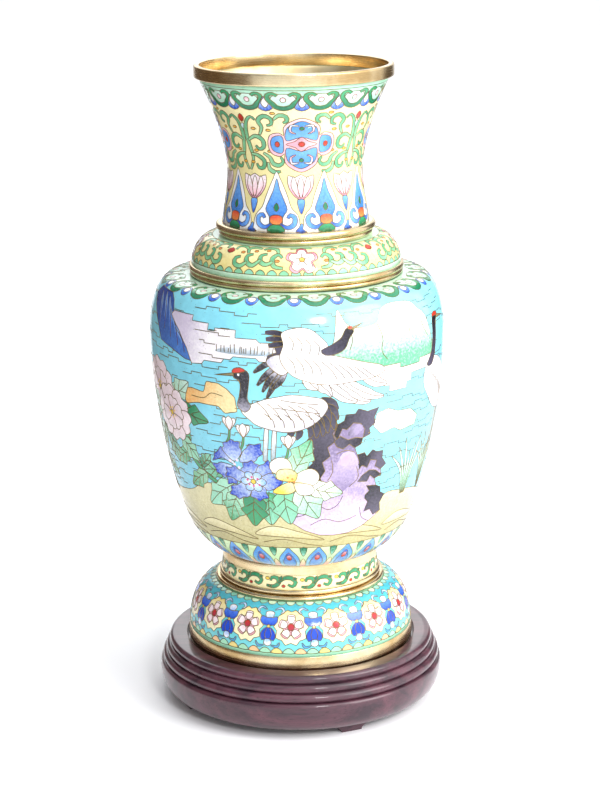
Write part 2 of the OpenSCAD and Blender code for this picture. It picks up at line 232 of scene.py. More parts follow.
def new_material(name):
    """An empty material: its node tree and its Principled shader."""
    material = bpy.data.materials.new(name)
    material.use_nodes = True
    tree = material.node_tree
    tree.nodes.clear()
    shader = put(tree, "ShaderNodeBsdfPrincipled")
    put(tree, "ShaderNodeOutputMaterial", [("Surface", shader.outputs[0])])
    return material, tree, shader.inputs


# Turned and gilded brass: warm yellow metal with fine lathe lines that run round it,
# a soft tarnish in broad patches, and reflections a little drawn out along the lines.
def gilt_brass(name, bright, dull, rough):
    material, tree, skin = new_material(name)
    where = put(tree, "ShaderNodeTexCoord").outputs["Object"]
    round_and_round = put(tree, "ShaderNodeMapping", [("Vector", where), ("Scale", (1, 1, 40))])
    lines = put(tree, "ShaderNodeTexNoise", [
        ("Vector", round_and_round.outputs[0]), ("Scale", 60.0), ("Detail", 3.0)])
    patches = put(tree, "ShaderNodeTexNoise", [
        ("Vector", where), ("Scale", 28.0), ("Detail", 4.0), ("Roughness", 0.6)])
    worn = put(tree, "ShaderNodeMapRange", [
        ("Value", patches.outputs[0]), ("From Min", 0.38), ("From Max", 0.66)])
    tone = put(tree, "ShaderNodeMix", [
        (0, worn.outputs[0]), (6, srgb(bright)), (7, srgb(dull))], data_type="RGBA")
    tree.links.new(tone.outputs[2], skin["Base Color"])
    haze = put(tree, "ShaderNodeMapRange", [
        ("Value", lines.outputs[0]), ("To Min", rough - 0.05), ("To Max", rough + 0.09)])
    tree.links.new(haze.outputs[0], skin["Roughness"])
    grooves = put(tree, "ShaderNodeBump", [
        ("Height", lines.outputs[0]), ("Strength", 0.12), ("Distance", 0.1 * MM)])
    tree.links.new(grooves.outputs[0], skin["Normal"])
    skin["Metallic"].default_value = 1
    return material


RING_BRASS = gilt_brass("turned gilt brass", "#ead8b0", "#bd9f6e", 0.24)
turned("mouth_rim", "rim_band", "vase", RING_BRASS, 0.8 * MM, seated=True)
for ring in ("neck_ring", "collar_ring", "waist_band", "stem_ring", "foot_ring"):
    turned("brass_" + ring, ring, "vase", RING_BRASS)


# ---- Copper sections, counter enamel and base plate ----
# Real pieces: five sections spun from sheet copper on a lathe, soldered end to end. Inside, the neck
# is gilded, and the body and the closing plate are coated with blue glass against warping in the fire.

# Spun copper, dulled by the fire: a deep orange-brown metal with soft lathe lines.
SPUN_COPPER = gilt_brass("spun copper", "#a8653f", "#6e3d28", 0.38)

# Gilded copper inside the neck: the same gold as the rings, but matt, as only the rings are polished.
NECK_GILT = gilt_brass("gilded neck bore", "#e8d9b2", "#cbb280", 0.32)


# Counter enamel: thick sky-blue glass laid on wet and fired once, so it is glossy and uneven in depth.
def fired_glass(name, light, deep):
    material, tree, skin = new_material(name)
    where = put(tree, "ShaderNodeTexCoord").outputs["Object"]
    depth = put(tree, "ShaderNodeTexNoise", [
        ("Vector", where), ("Scale", 120.0), ("Detail", 4.0)])
    tone = put(tree, "ShaderNodeMix", [
        (0, depth.outputs[0]), (6, srgb(light)), (7, srgb(deep))], data_type="RGBA")
    tree.links.new(tone.outputs[2], skin["Base Color"])
    skin["Roughness"].default_value = 0.18
    ripple = put(tree, "ShaderNodeBump", [
        ("Height", depth.outputs[0]), ("Strength", 0.3), ("Distance", 0.3 * MM)])
    tree.links.new(ripple.outputs[0], skin["Normal"])
    return material


COUNTER_GLASS = fired_glass("blue counter enamel", "#6fb4d6", "#3f86b8")


def coated(node, finish):
    """A CAD node that keeps its shape and takes a finish."""
    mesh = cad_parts[node].data
    mesh.materials.clear()
    mesh.materials.append(finish)


turned("neck_bore", "neck_shell", "vase", NECK_GILT)
turned("body_glass_lining", "body_lining", "vase", COUNTER_GLASS)
for node in ("collar_shell", "body_shell", "stem_shell", "foot_shell", "base_plate"):
    coated(node, SPUN_COPPER)
coated("base_enamel", COUNTER_GLASS)


# ---- Body enamel and its wires ----
# Real piece: the crane scene is laid in cells between flat gilded copper wires that stand on edge on
# the body, filled with ground glass, fired several times and rubbed flush, then polished.
END_FACE = 2.2 * MM      # a band of glass is thinner than this, and its outside is longer
END_TURN = 0.5           # radians, the corners of an end face turn by more than this
LOOKS_OUT = 0.02         # a face that looks outwards by more than this is part of the outside
LOOKS_UP = 0.97          # and so is one that looks upwards by more than this
PATH_GAP = 0.2           # mm, points of the outside nearer than this are one
BARE_STRIP = 0.1         # mm, a strip beside the end wire that is higher than this is glass too


def outer_path(node):
    """The outside of an enamel node's section in mm, from its foot up: where the drawing is laid."""
    outside = []
    for loop in outline(node):
        area = sum(a[0] * b[1] - b[0] * a[1] for a, b in zip(loop, loop[1:] + loop[:1]))
        loop = loop if area > 0 else loop[::-1]
        for i, here in enumerate(loop):
            after = loop[(i + 1) % len(loop)]
            length = math.dist(here, after)
            out, up = (after[1] - here[1]) / length, (here[0] - after[0]) / length
            square = all(abs(turn_at(*(loop[(i + j + k) % len(loop)] for k in (-1, 0, 1)))) > END_TURN
                         for j in (0, 1))
            end_face = square and length < END_FACE
            if not end_face and (out > LOOKS_OUT or (up > LOOKS_UP and length > END_FACE)):
                outside += [here, after]
    path = []
    for z, back in sorted({(round(z / MM, 2), round(-r / MM, 2)) for r, z in outside}):
        if not path or math.dist(path[-1], (-back, z)) > PATH_GAP:
            path.append((-back, z))
    low, high = (corner.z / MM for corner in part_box(node))
    slope = (path[-1][0] - path[-2][0]) / max(path[-1][1] - path[-2][1], BARE_STRIP)
    if path[0][1] > low + BARE_STRIP:
        path.insert(0, (path[0][0] - slope * (path[0][1] - low), low))
    if path[-1][1] < high - BARE_STRIP:
        path.append((path[-1][0] + slope * (high - path[-1][1]), high))
    return path


def new_sheet(node, radius, ground, shade=None, fade=None):
    """A drawing sheet as long as the node's band is round at radius (mm) and as high as its outside."""
    path = outer_path(node)
    height = sum(math.dist(a, b) for a, b in zip(path, path[1:]))
    return {"path": path, "radius": radius, "width": 2 * math.pi * radius, "height": height,
            "cells": [([], ground, shade or ground, fade or ((0, 0), (0, height)), False)],
            "lines": [], "at": (0, 0, 1, 1)}


def draw_at(sheet, along=0, up=0, flip=1, size=1):
    """Sets where on the sheet the next shapes go; flip is -1 for a mirror image."""
    sheet["at"] = (along, up, flip, size)


def spaced(sheet, count, first=0.0):
    """Places evenly round the vase: (middle of a motif, half way to the next), one pair each."""
    pitch = sheet["width"] / count
    return [(first + pitch * (k - count // 2), first + pitch * (k - count // 2 + 0.5))
            for k in range(count)]


def placed(sheet, points):
    """Points moved, mirrored and sized as the sheet's present place says."""
    along, up, flip, size = sheet["at"]
    return [(along + flip * size * x, up + size * y) for x, y in points]


def cell(sheet, points, ink, shade=None, fade=None, wired=True):
    """One cell of enamel: its outline, its colour, and the colour that it shades to along fade."""
    shape = placed(sheet, points)
    area = sum(a[0] * b[1] - b[0] * a[1] for a, b in zip(shape, shape[1:] + shape[:1]))
    fade = placed(sheet, fade) if fade else [(0, 0), (0, 1)]
    sheet["cells"].append((shape if area > 0 else shape[::-1], ink, shade or ink, fade, wired))


def line(sheet, points, smooth_it=True):
    """A wire that ends inside a cell; cells drawn after it cover it."""
    path = placed(sheet, smooth(points, False) if smooth_it else straight(points, False))
    sheet["lines"].append((path, len(sheet["cells"])))


def smooth(points, closed=True, step=2.4):
    """A smooth curve through given points, cut into parts no longer than step."""
    count, made = len(points), []
    for i in range(count if closed else count - 1):
        picked = [points[(i + k) % count] if closed else points[min(max(i + k, 0), count - 1)]
                  for k in (-1, 0, 1, 2)]
        parts = max(2, math.ceil(math.dist(picked[1], picked[2]) / step))
        for j in range(parts):
            t = j / parts
            made.append(tuple(
                0.5 * (2 * b + (c - a) * t + (2 * a - 5 * b + 4 * c - d) * t * t
                       + (3 * b - a - 3 * c + d) * t ** 3) for a, b, c, d in zip(*picked)))
    return made if closed else made + [points[-1]]


def straight(points, closed=True, step=3.0):
    """The same with straight sides, for stepped and cut shapes."""
    made = []
    ends = points[1:] + points[:1] if closed else points[1:]
    for a, b in zip(points, ends):
        parts = max(1, math.ceil(math.dist(a, b) / step))
        made += [(a[0] + (b[0] - a[0]) * j / parts, a[1] + (b[1] - a[1]) * j / parts)
                 for j in range(parts)]
    return made if closed else made + [points[-1]]


def ribbon(points, width, tip=0.35):
    """A strip along a smooth path, drawn in to tip times its width at both ends."""
    path = smooth(points, False, 2.0)
    left, right = [], []
    for i, (x, y) in enumerate(path):
        (xa, ya), (xb, yb) = path[max(i - 1, 0)], path[min(i + 1, len(path) - 1)]
        length = math.dist((xa, ya), (xb, yb)) or 1
        full = min(1, tip + (1 - tip) * 3 * min(i, len(path) - 1 - i) / len(path))
        half = width * full / 2 / length
        left.append((x - (yb - ya) * half, y + (xb - xa) * half))
        right.append((x + (yb - ya) * half, y - (xb - xa) * half))
    return left + right[::-1]


def strip(sheet, path, width, tip, ink, shade, wired=True):
    """A ribbon of glass, which shades from its path's start to its end."""
    cell(sheet, ribbon(path, width, tip), ink, shade, [path[0], path[-1]], wired)


def band(sheet, low, high, ink, shade=None):
    """A plain band from one height to another, all the way round."""
    half, high = sheet["width"] / 2, min(high, sheet["height"])
    cell(sheet, straight([(-half, low), (half, low), (half, high), (-half, high)]), ink, shade,
         [(0, low), (0, high)])


def disc(x, y, rx, ry=None, sides=12):
    """A round or oval outline."""
    ry = ry or rx
    return [(x + rx * math.cos(2 * math.pi * k / sides), y + ry * math.sin(2 * math.pi * k / sides))
            for k in range(sides)]


def mirrored(points):
    """Half an outline, followed by its mirror image about the upright through the middle."""
    return points + [(-x, y) for x, y in reversed(points) if x != 0]


def covered(sheet, x, y, layer):
    """Whether a cell drawn after that layer lies over the point."""
    for shape, *_ in sheet["cells"][layer:]:
        if not min(p[0] for p in shape) < x < max(p[0] for p in shape):
            continue
        over = False
        for (xa, ya), (xb, yb) in zip(shape, shape[1:] + shape[:1]):
            if (ya > y) != (yb > y) and x < xa + (y - ya) * (xb - xa) / (yb - ya):
                over = not over
        if over:
            return True
    return False


GRID_ALONG = 4.2         # mm between the ground's points, so that it bends with the vase
GRID_UP = 3.0            # mm between their rows
EDGE_GAP = 0.0015        # mm, points nearer than this are one
ON_EDGE = 0.01           # mm, a triangle within this of one side of the sheet is a sliver


def cut_up(sheet):
    """The sheet's cells as triangles, and its wires as edges: (points, triangles, tops, wires)."""
    width, height = sheet["width"], sheet["height"]
    across, up = round(width / GRID_ALONG), max(2, round(height / GRID_UP))
    columns = [width * (i / across - 0.5) for i in range(across + 1)]
    levels = [height * j / up for j in range(up + 1)]
    rim = ([(x, 0) for x in columns[:-1]] + [(columns[-1], y) for y in levels[:-1]]
           + [(x, height) for x in columns[:0:-1]] + [(columns[0], y) for y in levels[:0:-1]])
    points, faces, owners = list(rim), [list(range(len(rim)))], [0]
    for number, (shape, *_) in enumerate(sheet["cells"][1:], 1):
        for shift in (-width, 0, width):
            xs = [x + shift for x, _ in shape]
            if min(xs) < width / 2 and max(xs) > -width / 2:
                faces.append(list(range(len(points), len(points) + len(shape))))
                points += [(x, shape[i][1]) for i, x in enumerate(xs)]
                owners.append(number)
    points += [(x + (j % 2) * width / across / 2, y) for j, y in enumerate(levels[1:-1])
               for x in columns[1:-1]]
    found, _, triangles, _, _, origins = delaunay_2d_cdt(
        [Vector(p) for p in points], [], faces, 1, EDGE_GAP, True)
    kept, tops, sides = [], [], {}
    for triangle, origin in zip(triangles, origins):
        sliver = any(all(abs(found[i][axis] - edge) < ON_EDGE for i in triangle)
                     for axis, edge in ((0, -width / 2), (0, width / 2), (1, 0), (1, height)))
        if 0 not in origin or sliver:
            continue
        top = owners[max(origin)]
        for a, b in zip(triangle, triangle[1:] + triangle[:1]):
            sides.setdefault((min(a, b), max(a, b)), []).append(top)
        kept.append(triangle)
        tops.append(top)
    wires = [side for side, cells in sides.items()
             if len(cells) == 2 and cells[0] != cells[1] and sheet["cells"][max(cells)][4]]
    return found, kept, tops, wires


def loose_wires(sheet, points, wires):
    """Adds the wires that end inside cells, where no later cell covers them."""
    for path, layer in sheet["lines"]:
        for a, b in zip(path, path[1:]):
            x, y = (a[0] + b[0]) / 2, (a[1] + b[1]) / 2
            inside = abs(x) < sheet["width"] / 2 and 0 < y < sheet["height"]
            if inside and not covered(sheet, x, y, layer):
                wires.append((len(points), len(points) + 1))
                points += [Vector(a), Vector(b)]


wrapping, given, result = new_tree("wrap round the vase", [
    ("Profile", "Object"), ("Radius", "Float"), ("Finish", "Material")])
profile = put(wrapping, "GeometryNodeObjectInfo", [("Object", given["Profile"])])
rail = put(wrapping, "GeometryNodeMeshToCurve", [("Mesh", profile.outputs["Geometry"])])
flat = put(wrapping, "ShaderNodeSeparateXYZ",
           [(0, put(wrapping, "GeometryNodeInputPosition").outputs[0])])
sampled = put(wrapping, "GeometryNodeSampleCurve",
              [("Curves", rail.outputs[0]), ("Length", flat.outputs["Y"])], mode="LENGTH")
spot = put(wrapping, "ShaderNodeSeparateXYZ", [(0, sampled.outputs["Position"])])
slope = put(wrapping, "ShaderNodeSeparateXYZ", [(0, sampled.outputs["Tangent"])])
reach = put(wrapping, "ShaderNodeMath", [
    (0, slope.outputs["Z"]), (1, flat.outputs["Z"]), (2, spot.outputs["X"])],
    operation="MULTIPLY_ADD")
sunk = put(wrapping, "ShaderNodeMath", [(0, slope.outputs["X"]), (1, flat.outputs["Z"])],
           operation="MULTIPLY")
level = put(wrapping, "ShaderNodeMath", [(0, spot.outputs["Z"]), (1, sunk.outputs[0])],
            operation="SUBTRACT")
around = put(wrapping, "ShaderNodeMath", [(0, flat.outputs["X"]), (1, given["Radius"])],
             operation="DIVIDE")
sideways = put(wrapping, "ShaderNodeMath", [(0, around.outputs[0])], operation="SINE")
forward = put(wrapping, "ShaderNodeMath", [(0, around.outputs[0])], operation="COSINE")
right = put(wrapping, "ShaderNodeMath", [(0, reach.outputs[0]), (1, sideways.outputs[0])],
            operation="MULTIPLY")
ahead = put(wrapping, "ShaderNodeMath", [(0, reach.outputs[0]), (1, forward.outputs[0])],
            operation="MULTIPLY")
back = put(wrapping, "ShaderNodeMath", [(0, ahead.outputs[0]), (1, -1.0)], operation="MULTIPLY")
bent = put(wrapping, "ShaderNodeCombineXYZ", [
    (0, right.outputs[0]), (1, back.outputs[0]), (2, level.outputs[0])])
scaled = put(wrapping, "ShaderNodeVectorMath", [(0, bent.outputs[0]), ("Scale", MM)],
             operation="SCALE")
wrapped = put(wrapping, "GeometryNodeSetPosition",
              [("Geometry", given["Geometry"]), ("Position", scaled.outputs[0])])
joined = put(wrapping, "GeometryNodeMergeByDistance",
             [("Geometry", wrapped.outputs[0]), ("Distance", WELD)])
close_tree(wrapping, joined.outputs[0], given["Finish"], result)

WIRE_W = 0.42            # mm, the flat of a wire as it shows, a little wide so that it can be seen
WIRE_DEEP = 0.4          # mm, how much of it is modelled
WIRE_PROUD = 0.1         # mm above the glass
bending, given, result = new_tree("bend wire on edge", [
    ("Profile", "Object"), ("Radius", "Float"), ("Width", "Float"), ("Depth", "Float"),
    ("Proud", "Float"), ("Finish", "Material")])
runs = put(bending, "GeometryNodeMeshToCurve", [("Mesh", given["Geometry"])])
upright = put(bending, "GeometryNodeSetCurveNormal", [("Curve", runs.outputs[0])], mode="Z_UP")
flat_wire = put(bending, "GeometryNodeCurvePrimitiveQuadrilateral",
                [("Width", given["Width"]), ("Height", given["Depth"])])
drawn = put(bending, "GeometryNodeCurveToMesh", [
    ("Curve", upright.outputs[0]), ("Profile Curve", flat_wire.outputs[0]), ("Fill Caps", True)])
middle = put(bending, "ShaderNodeMath", [(0, given["Depth"]), (1, -0.5), (2, given["Proud"])],
             operation="MULTIPLY_ADD")
lift = put(bending, "ShaderNodeCombineXYZ", [(2, middle.outputs[0])])
set_in = put(bending, "GeometryNodeTransform", [
    ("Geometry", drawn.outputs[0]), ("Translation", lift.outputs[0])])
on_vase = put(bending, "GeometryNodeGroup", [
    ("Geometry", set_in.outputs[0]), ("Profile", given["Profile"]), ("Radius", given["Radius"]),
    ("Finish", given["Finish"])], node_tree=wrapping)
close_tree(bending, on_vase.outputs[0], given["Finish"], result)


# Fired and polished cloisonne glass: opaque colour that grades grain by grain from one tint to the
# next, a few pinholes, a slightly wavy face from hand rubbing, and a bright wax-like gloss.
def cell_glass():
    material, tree, skin = new_material("polished cloisonne glass")
    where = put(tree, "ShaderNodeTexCoord").outputs["Object"]
    ink, shade, fade = (put(tree, "ShaderNodeAttribute", attribute_name=name).outputs
                        for name in ("ink", "shade", "fade"))
    grain = put(tree, "ShaderNodeTexNoise", [
        ("Vector", where), ("Scale", 700.0), ("Detail", 2.0)])     # ground glass, about 1.4 mm
    spread = put(tree, "ShaderNodeMapRange", [
        ("Value", grain.outputs[0]), ("From Min", 0.3), ("From Max", 0.7),
        ("To Min", -0.22), ("To Max", 0.22)])
    mixed = put(tree, "ShaderNodeMath", [(0, fade["Fac"]), (1, spread.outputs[0])], use_clamp=True)
    colour = put(tree, "ShaderNodeMix", [
        (0, mixed.outputs[0]), (6, ink["Color"]), (7, shade["Color"])], data_type="RGBA")
    clouding = put(tree, "ShaderNodeTexNoise", [
        ("Vector", where), ("Scale", 130.0), ("Detail", 3.0)])     # patches of about 8 mm
    deeper = put(tree, "ShaderNodeMapRange", [
        ("Value", clouding.outputs[0]), ("From Min", 0.3), ("From Max", 0.7),
        ("To Min", 0.92), ("To Max", 1.06)])
    mottled = put(tree, "ShaderNodeHueSaturation", [
        ("Color", colour.outputs[2]), ("Value", deeper.outputs[0])])
    holes = put(tree, "ShaderNodeTexVoronoi", [("Vector", where), ("Scale", 330.0)])
    pits = put(tree, "ShaderNodeMapRange", [
        ("Value", holes.outputs["Distance"]), ("From Min", 0.05), ("From Max", 0.1)])
    pitted = put(tree, "ShaderNodeMix", [
        (0, pits.outputs[0]), (6, srgb("#5c5648")), (7, mottled.outputs[0])], data_type="RGBA")
    tree.links.new(pitted.outputs[2], skin["Base Color"])
    waves = put(tree, "ShaderNodeTexNoise", [("Vector", where), ("Scale", 70.0)])
    rubbed = put(tree, "ShaderNodeBump", [
        ("Height", waves.outputs[0]), ("Strength", 0.25), ("Distance", 0.35 * MM)])
    tree.links.new(rubbed.outputs[0], skin["Normal"])
    skin["Roughness"].default_value = 0.14
    skin["IOR"].default_value = 1.52
    return material


CELL_GLASS = cell_glass()
# Gilded copper wire, thin and rubbed flat: its gold is painted darker than the rings', as painted shade for
# the thin shadow along each wire.
CELL_WIRE = gilt_brass("gilded cell wire", "#8f7a4c", "#5f5034", 0.32)
GLASS_T = 0.8            # mm of glass modelled over the copper; the rim band covers its upper edge


def fire(sheet, name, glass_slot):
    """Makes a band's enamel and wires from its drawing and puts them in place of the CAD nodes."""
    path = [(r, 0, z) for r, z in sheet["path"]]
    rail = bpy.data.objects.new(name + "_rail", path_mesh(
        name + "_rail", path, [(i, i + 1) for i in range(len(path) - 1)]))
    points, triangles, tops, wires = cut_up(sheet)
    mesh = bpy.data.meshes.new(name)
    mesh.from_pydata([(x, y, 0) for x, y in points], [], triangles)
    inks, shades, fades = [], [], []
    tints = {}
    for triangle, top in zip(triangles, tops):
        _, ink, shade, ((xa, ya), (xb, yb)), _ = sheet["cells"][top]
        run = (xb - xa) ** 2 + (yb - ya) ** 2
        for corner in triangle:
            x, y = points[corner]
            shift = sheet["width"] * round((x - xa) / sheet["width"]) if top else 0
            along = ((x - shift - xa) * (xb - xa) + (y - ya) * (yb - ya)) / run
            fades.append(min(1, max(0, along)))
            for values, tint in ((inks, ink), (shades, shade)):
                values += tints.setdefault(tint, srgb(tint))
    for label, kind, values in (("ink", "FLOAT_COLOR", inks), ("shade", "FLOAT_COLOR", shades),
                                ("fade", "FLOAT", fades)):
        layer = mesh.attributes.new(label, kind, "CORNER")
        layer.data.foreach_set("value" if kind == "FLOAT" else "color", values)
    glass = grown(name + "_glass", mesh, wrapping,
                  Profile=rail, Radius=float(sheet["radius"]), Finish=CELL_GLASS)
    glass.data.shade_smooth()
    skin = glass.modifiers.new("thickness", "SOLIDIFY")
    skin.thickness = GLASS_T * MM
    skin.offset = -1
    loose_wires(sheet, points, wires)
    bars = path_mesh(name, [(x, y, 0) for x, y in points], wires)
    wire = grown(name + "_wire", bars, bending, Profile=rail, Radius=float(sheet["radius"]),
                 Width=WIRE_W, Depth=WIRE_DEEP, Proud=WIRE_PROUD, Finish=CELL_WIRE)
    bpy.data.objects.remove(rail)
    for piece, node, slot in ((glass, name + "_enamel", glass_slot),
                              (wire, name + "_wires", "cloison_wire")):
        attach(piece, "vase")
        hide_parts(node)


# The enameller's jars: one ground glass for each colour that several cells share.
TURQUOISE, TURQUOISE_LIGHT = "#7fcde0", "#86d4e6"
DARK_GREEN, MINT, PALE_MINT, LEAF_GREEN = "#1c7350", "#8fd0b2", "#cdeadb", "#3f9b68"
NIGHT_BLUE, ROYAL_BLUE, SKY_BLUE, ICE_BLUE = "#22408c", "#2452c0", "#6ea8ea", "#cfe0f4"
WHITE, LILAC, PINK, ROSE = "#f1eff0", "#c3b9d6", "#e9a9b8", "#c65a72"
RED, DEEP_RED, ORANGE, YELLOW, CREAM = "#c23427", "#8e2f25", "#e2924a", "#ecc94f", "#f3e9b4"
BLACK, SLATE, GREY, HORN = "#17151f", "#4a4658", "#9c99a8", "#8a7d5a"
KHAKI, STRAW = "#bdb27c", "#e6deb0"

body = new_sheet("body_enamel", 90, TURQUOISE, TURQUOISE_LIGHT, ((0, 80), (0, 200)))

# Sky: short stepped wires in rows, which hold the wide turquoise ground while it melts.
SKY_LOW, SKY_HIGH, ROW = 66, 192, 6      # mm, the rows' lowest and highest, and their spacing
STEP = 1.8               # mm between the two levels of a row
LAST = body["width"] / 2 - 20    # mm, no wire starts nearer to the seam than 20
steps = random.Random(7)
for up in range(SKY_LOW, SKY_HIGH, ROW):
    along = -body["width"] / 2 + steps.uniform(0, 20)
    while along < LAST:
        run, level = [(along, up)], up
        for _ in range(steps.randint(2, 5)):
            along += steps.uniform(5, 13)
            run.append((along, level))
            level += steps.choice((-STEP, STEP)) if level == up else up - level
            run.append((along, level))
        run.append((along + 6, level))
        line(body, run, False)
        along += steps.uniform(20, 52)


def stepped_cloud(sheet, points, ink, shade=None, fade=None):
    """A cloud bank: flat runs with rounded steps between them."""
    cell(sheet, smooth(straight(points, step=6), step=3), ink, shade, fade)


def mountain(sheet):
    """A green mountain whose top fades into white mist."""
    ridge = [(22, 158), (20, 164), (22, 172), (25, 188), (30, 179), (38, 176), (50, 178), (53, 184),
             (60, 188), (72, 188), (81, 186), (86, 181), (92, 176), (97, 163), (99, 155), (97, 149),
             (85, 145), (72, 147), (55, 147), (46, 151), (33, 153)]
    cell(sheet, smooth(ridge), "#eef4ef", "#5aaa82", [(60, 178), (60, 154)])
    for path in ([(50, 177), (53, 168), (52, 160), (56, 154)], [(72, 187), (76, 176), (74, 168)],
                 [(86, 180), (88, 170), (93, 162)], [(30, 178), (33, 170), (31, 163)]):
        line(sheet, path)


def cliff(sheet):
    """A dark blue cliff with lighter streaks that run down its folds."""
    edge = [(-120, 192), (-98, 191), (-92, 187), (-89, 182), (-87, 176), (-84, 173), (-78, 173),
            (-75, 168), (-70, 165), (-67, 160), (-66, 152), (-74, 153), (-86, 157), (-100, 160),
            (-105, 168), (-112, 175), (-118, 180), (-124, 186)]
    cell(sheet, straight(edge), NIGHT_BLUE, "#4f7dc4", [(-108, 190), (-78, 152)])
    for top, foot in (((-113, 189), (-104, 170)), ((-106, 190), (-96, 168)), ((-99, 188), (-88, 164)),
                      ((-92, 181), (-80, 160)), ((-84, 171), (-74, 157))):
        streak = [top, ((top[0] + foot[0]) / 2 + 2.5, (top[1] + foot[1]) / 2 + 1), foot]
        strip(sheet, streak, 3.2, 0.1, "#8fb6e2", ROYAL_BLUE, False)
        line(sheet, streak)


def cloud_bank(sheet):
    """The lilac and white bank between the cliff and the mountain, with far reeds along it."""
    edge = [(-90, 178), (-88, 181), (-69, 181), (-69, 177.6), (-56, 177.6), (-56, 173.4), (-51, 173.4),
            (-51, 175.4), (-37, 175.4), (-37, 170.6), (-24, 170.6), (-22, 168.6), (-6, 168.6), (-6, 157),
            (-22, 157), (-24, 159), (-38, 159), (-40, 157), (-44, 157), (-46, 154.4), (-58, 154.4),
            (-60, 152), (-68, 151), (-72, 160), (-80, 170)]
    cell(sheet, straight(edge), "#f3eff2", "#cfc4da", [(-56, 163), (-76, 168)])
    for level, start, end in ((172.6, -66, -40), (167, -62, -50), (158.6, -62, -44)):
        line(sheet, [(start, level), (end - 8, level), (end - 8, level - 1.6), (end, level - 1.6)], False)
    cell(sheet, smooth([(-50, 161.6), (-34, 160.4), (-12, 160.8), (-12, 162.6), (-28, 164.4), (-40, 165)]),
         "#8fa3b0", "#e3e8ee", [(0, 160.6), (0, 165)], False)
    tufts = random.Random(11)
    x = -49
    while x < -14:
        line(sheet, [(x, 161.4), (x + tufts.uniform(-0.5, 0.6), 161.4 + tufts.uniform(2.4, 5.6))], False)
        x += tufts.uniform(1.1, 3.2)


def ground(sheet, foot=27):
    """The khaki bank along the whole foot of the scene, in long rolling folds."""
    half = sheet["width"] / 2
    ridge = [(-half, 58), (-240, 52), (-205, 60), (-170, 66), (-140, 60), (-120, 57), (-90, 61),
             (-75, 68), (-65, 71), (-55, 67), (-40, 55), (-8, 53), (25, 46), (52, 50), (65, 62),
             (82, 61), (100, 58), (130, 51), (165, 58), (200, 66), (235, 60), (half, 58)]
    cell(sheet, smooth(ridge, False, 4) + straight([(half, foot), (-half, foot)], False),
         "#dcd6a8", "#b3aa74", [(0, 62), (0, 28)])
    for k in range(11):
        x = -half + 18 + k * 51.4
        cell(sheet, smooth([(x - 26, 38), (x - 12, 43 + k % 3), (x + 8, 41), (x + 27, 34), (x + 8, 36),
                            (x - 8, 37)]), STRAW, KHAKI, [(0, 43), (0, 35)])
        line(sheet, [(x - 20, 32), (x - 4, 35), (x + 14, 31), (x + 26, 29)])


def reeds(sheet, x, y, lean=1, count=7):
    """A tuft of water grass: long pale blades that part and curve outwards."""
    for k in range(count):
        out = (k - (count - 1) / 2) * 3.6 * lean
        path = [(x + out * 0.2, y), (x + out * 0.7, y + 18), (x + out * 1.7, y + 30 + (k % 3) * 5)]
        cell(sheet, ribbon(path, 2.2, 0.2), "#d7eede", "#7fc3a0", [path[2], path[0]])


def leaf(sheet, base, tip, width, ink=LEAF_GREEN, shade=MINT, lobes=True):
    """A peony leaf: three-pointed or plain, with a mid vein and side veins."""
    dx, dy = tip[0] - base[0], tip[1] - base[1]
    half = width / math.hypot(dx, dy) / 2
    plan = ([(0, 0), (0.22, 0.8), (0.45, 0.72), (0.55, 1.0), (0.7, 0.62), (1, 0), (0.7, -0.62),
             (0.55, -1.0), (0.45, -0.72), (0.22, -0.8)] if lobes else
            [(0, 0), (0.25, 0.85), (0.55, 0.9), (0.8, 0.5), (1, 0), (0.8, -0.5), (0.55, -0.9),
             (0.25, -0.85)])
    spread = [(base[0] + dx * t - dy * w * half, base[1] + dy * t + dx * w * half) for t, w in plan]
    cell(sheet, smooth(spread, step=3), ink, shade, [base, tip])
    line(sheet, [base, ((base[0] + tip[0]) / 2 + dy * 0.04, (base[1] + tip[1]) / 2 - dx * 0.04), tip])
    for t, w in ((0.3, 0.6), (0.3, -0.6), (0.58, 0.6), (0.58, -0.6)):
        start = (base[0] + dx * t * 0.8, base[1] + dy * t * 0.8)
        out = t + 0.14
        line(sheet, [start, (base[0] + dx * out - dy * w * half, base[1] + dy * out + dx * w * half)])


def blossom(sheet, x, y, size, petals, rim_colour, heart, turn=0.0, lobe=0.34, core=YELLOW):
    """A peony seen from above: a ring of notched petals, a second ring inside, and its stamens."""
    for reach, start, inner, outer in ((1.0, turn, heart, rim_colour),
                                       (0.62, turn + math.pi / petals, heart, rim_colour)):
        for k in range(petals):
            a = start + 2 * math.pi * k / petals
            wide = math.pi / petals * 1.25
            plan = [(0.1, 0), (0.55, -wide), (0.92, -wide * 0.8), (1.04, -wide * lobe), (0.92, 0),
                    (1.04, wide * lobe), (0.92, wide * 0.8), (0.55, wide)]
            spread = [(x + size * reach * r * math.cos(a + b),
                       y + size * reach * r * math.sin(a + b) * 0.92) for r, b in plan]
            tip = (x + size * reach * math.cos(a), y + size * reach * math.sin(a))
            cell(sheet, smooth(spread, step=2.6), inner, outer, [(x, y), tip])
    for k in range(7):
        a = 2 * math.pi * k / 7
        cell(sheet, disc(x + size * 0.17 * math.cos(a), y + size * 0.17 * math.sin(a), 0.9, sides=6),
             core, wired=False)
    cell(sheet, disc(x, y, size * 0.09, sides=8), core)


def petal(sheet, points, ink, shade, root, tip):
    """One petal, which shades from its root to its tip."""
    cell(sheet, smooth(points), ink, shade, [root, tip])


def notched(points):
    """A petal outline with a small notch in the middle of each side of its outer edge."""
    made = []
    cx, cy = (sum(p[i] for p in points) / len(points) for i in (0, 1))
    for i, (a, b) in enumerate(zip(points, points[1:] + points[:1])):
        made.append(a)
        if 0 < i < len(points) - 1:
            mx, my = (a[0] + b[0]) / 2, (a[1] + b[1]) / 2
            made.append((mx + (cx - mx) * 0.14, my + (cy - my) * 0.14))
    return made


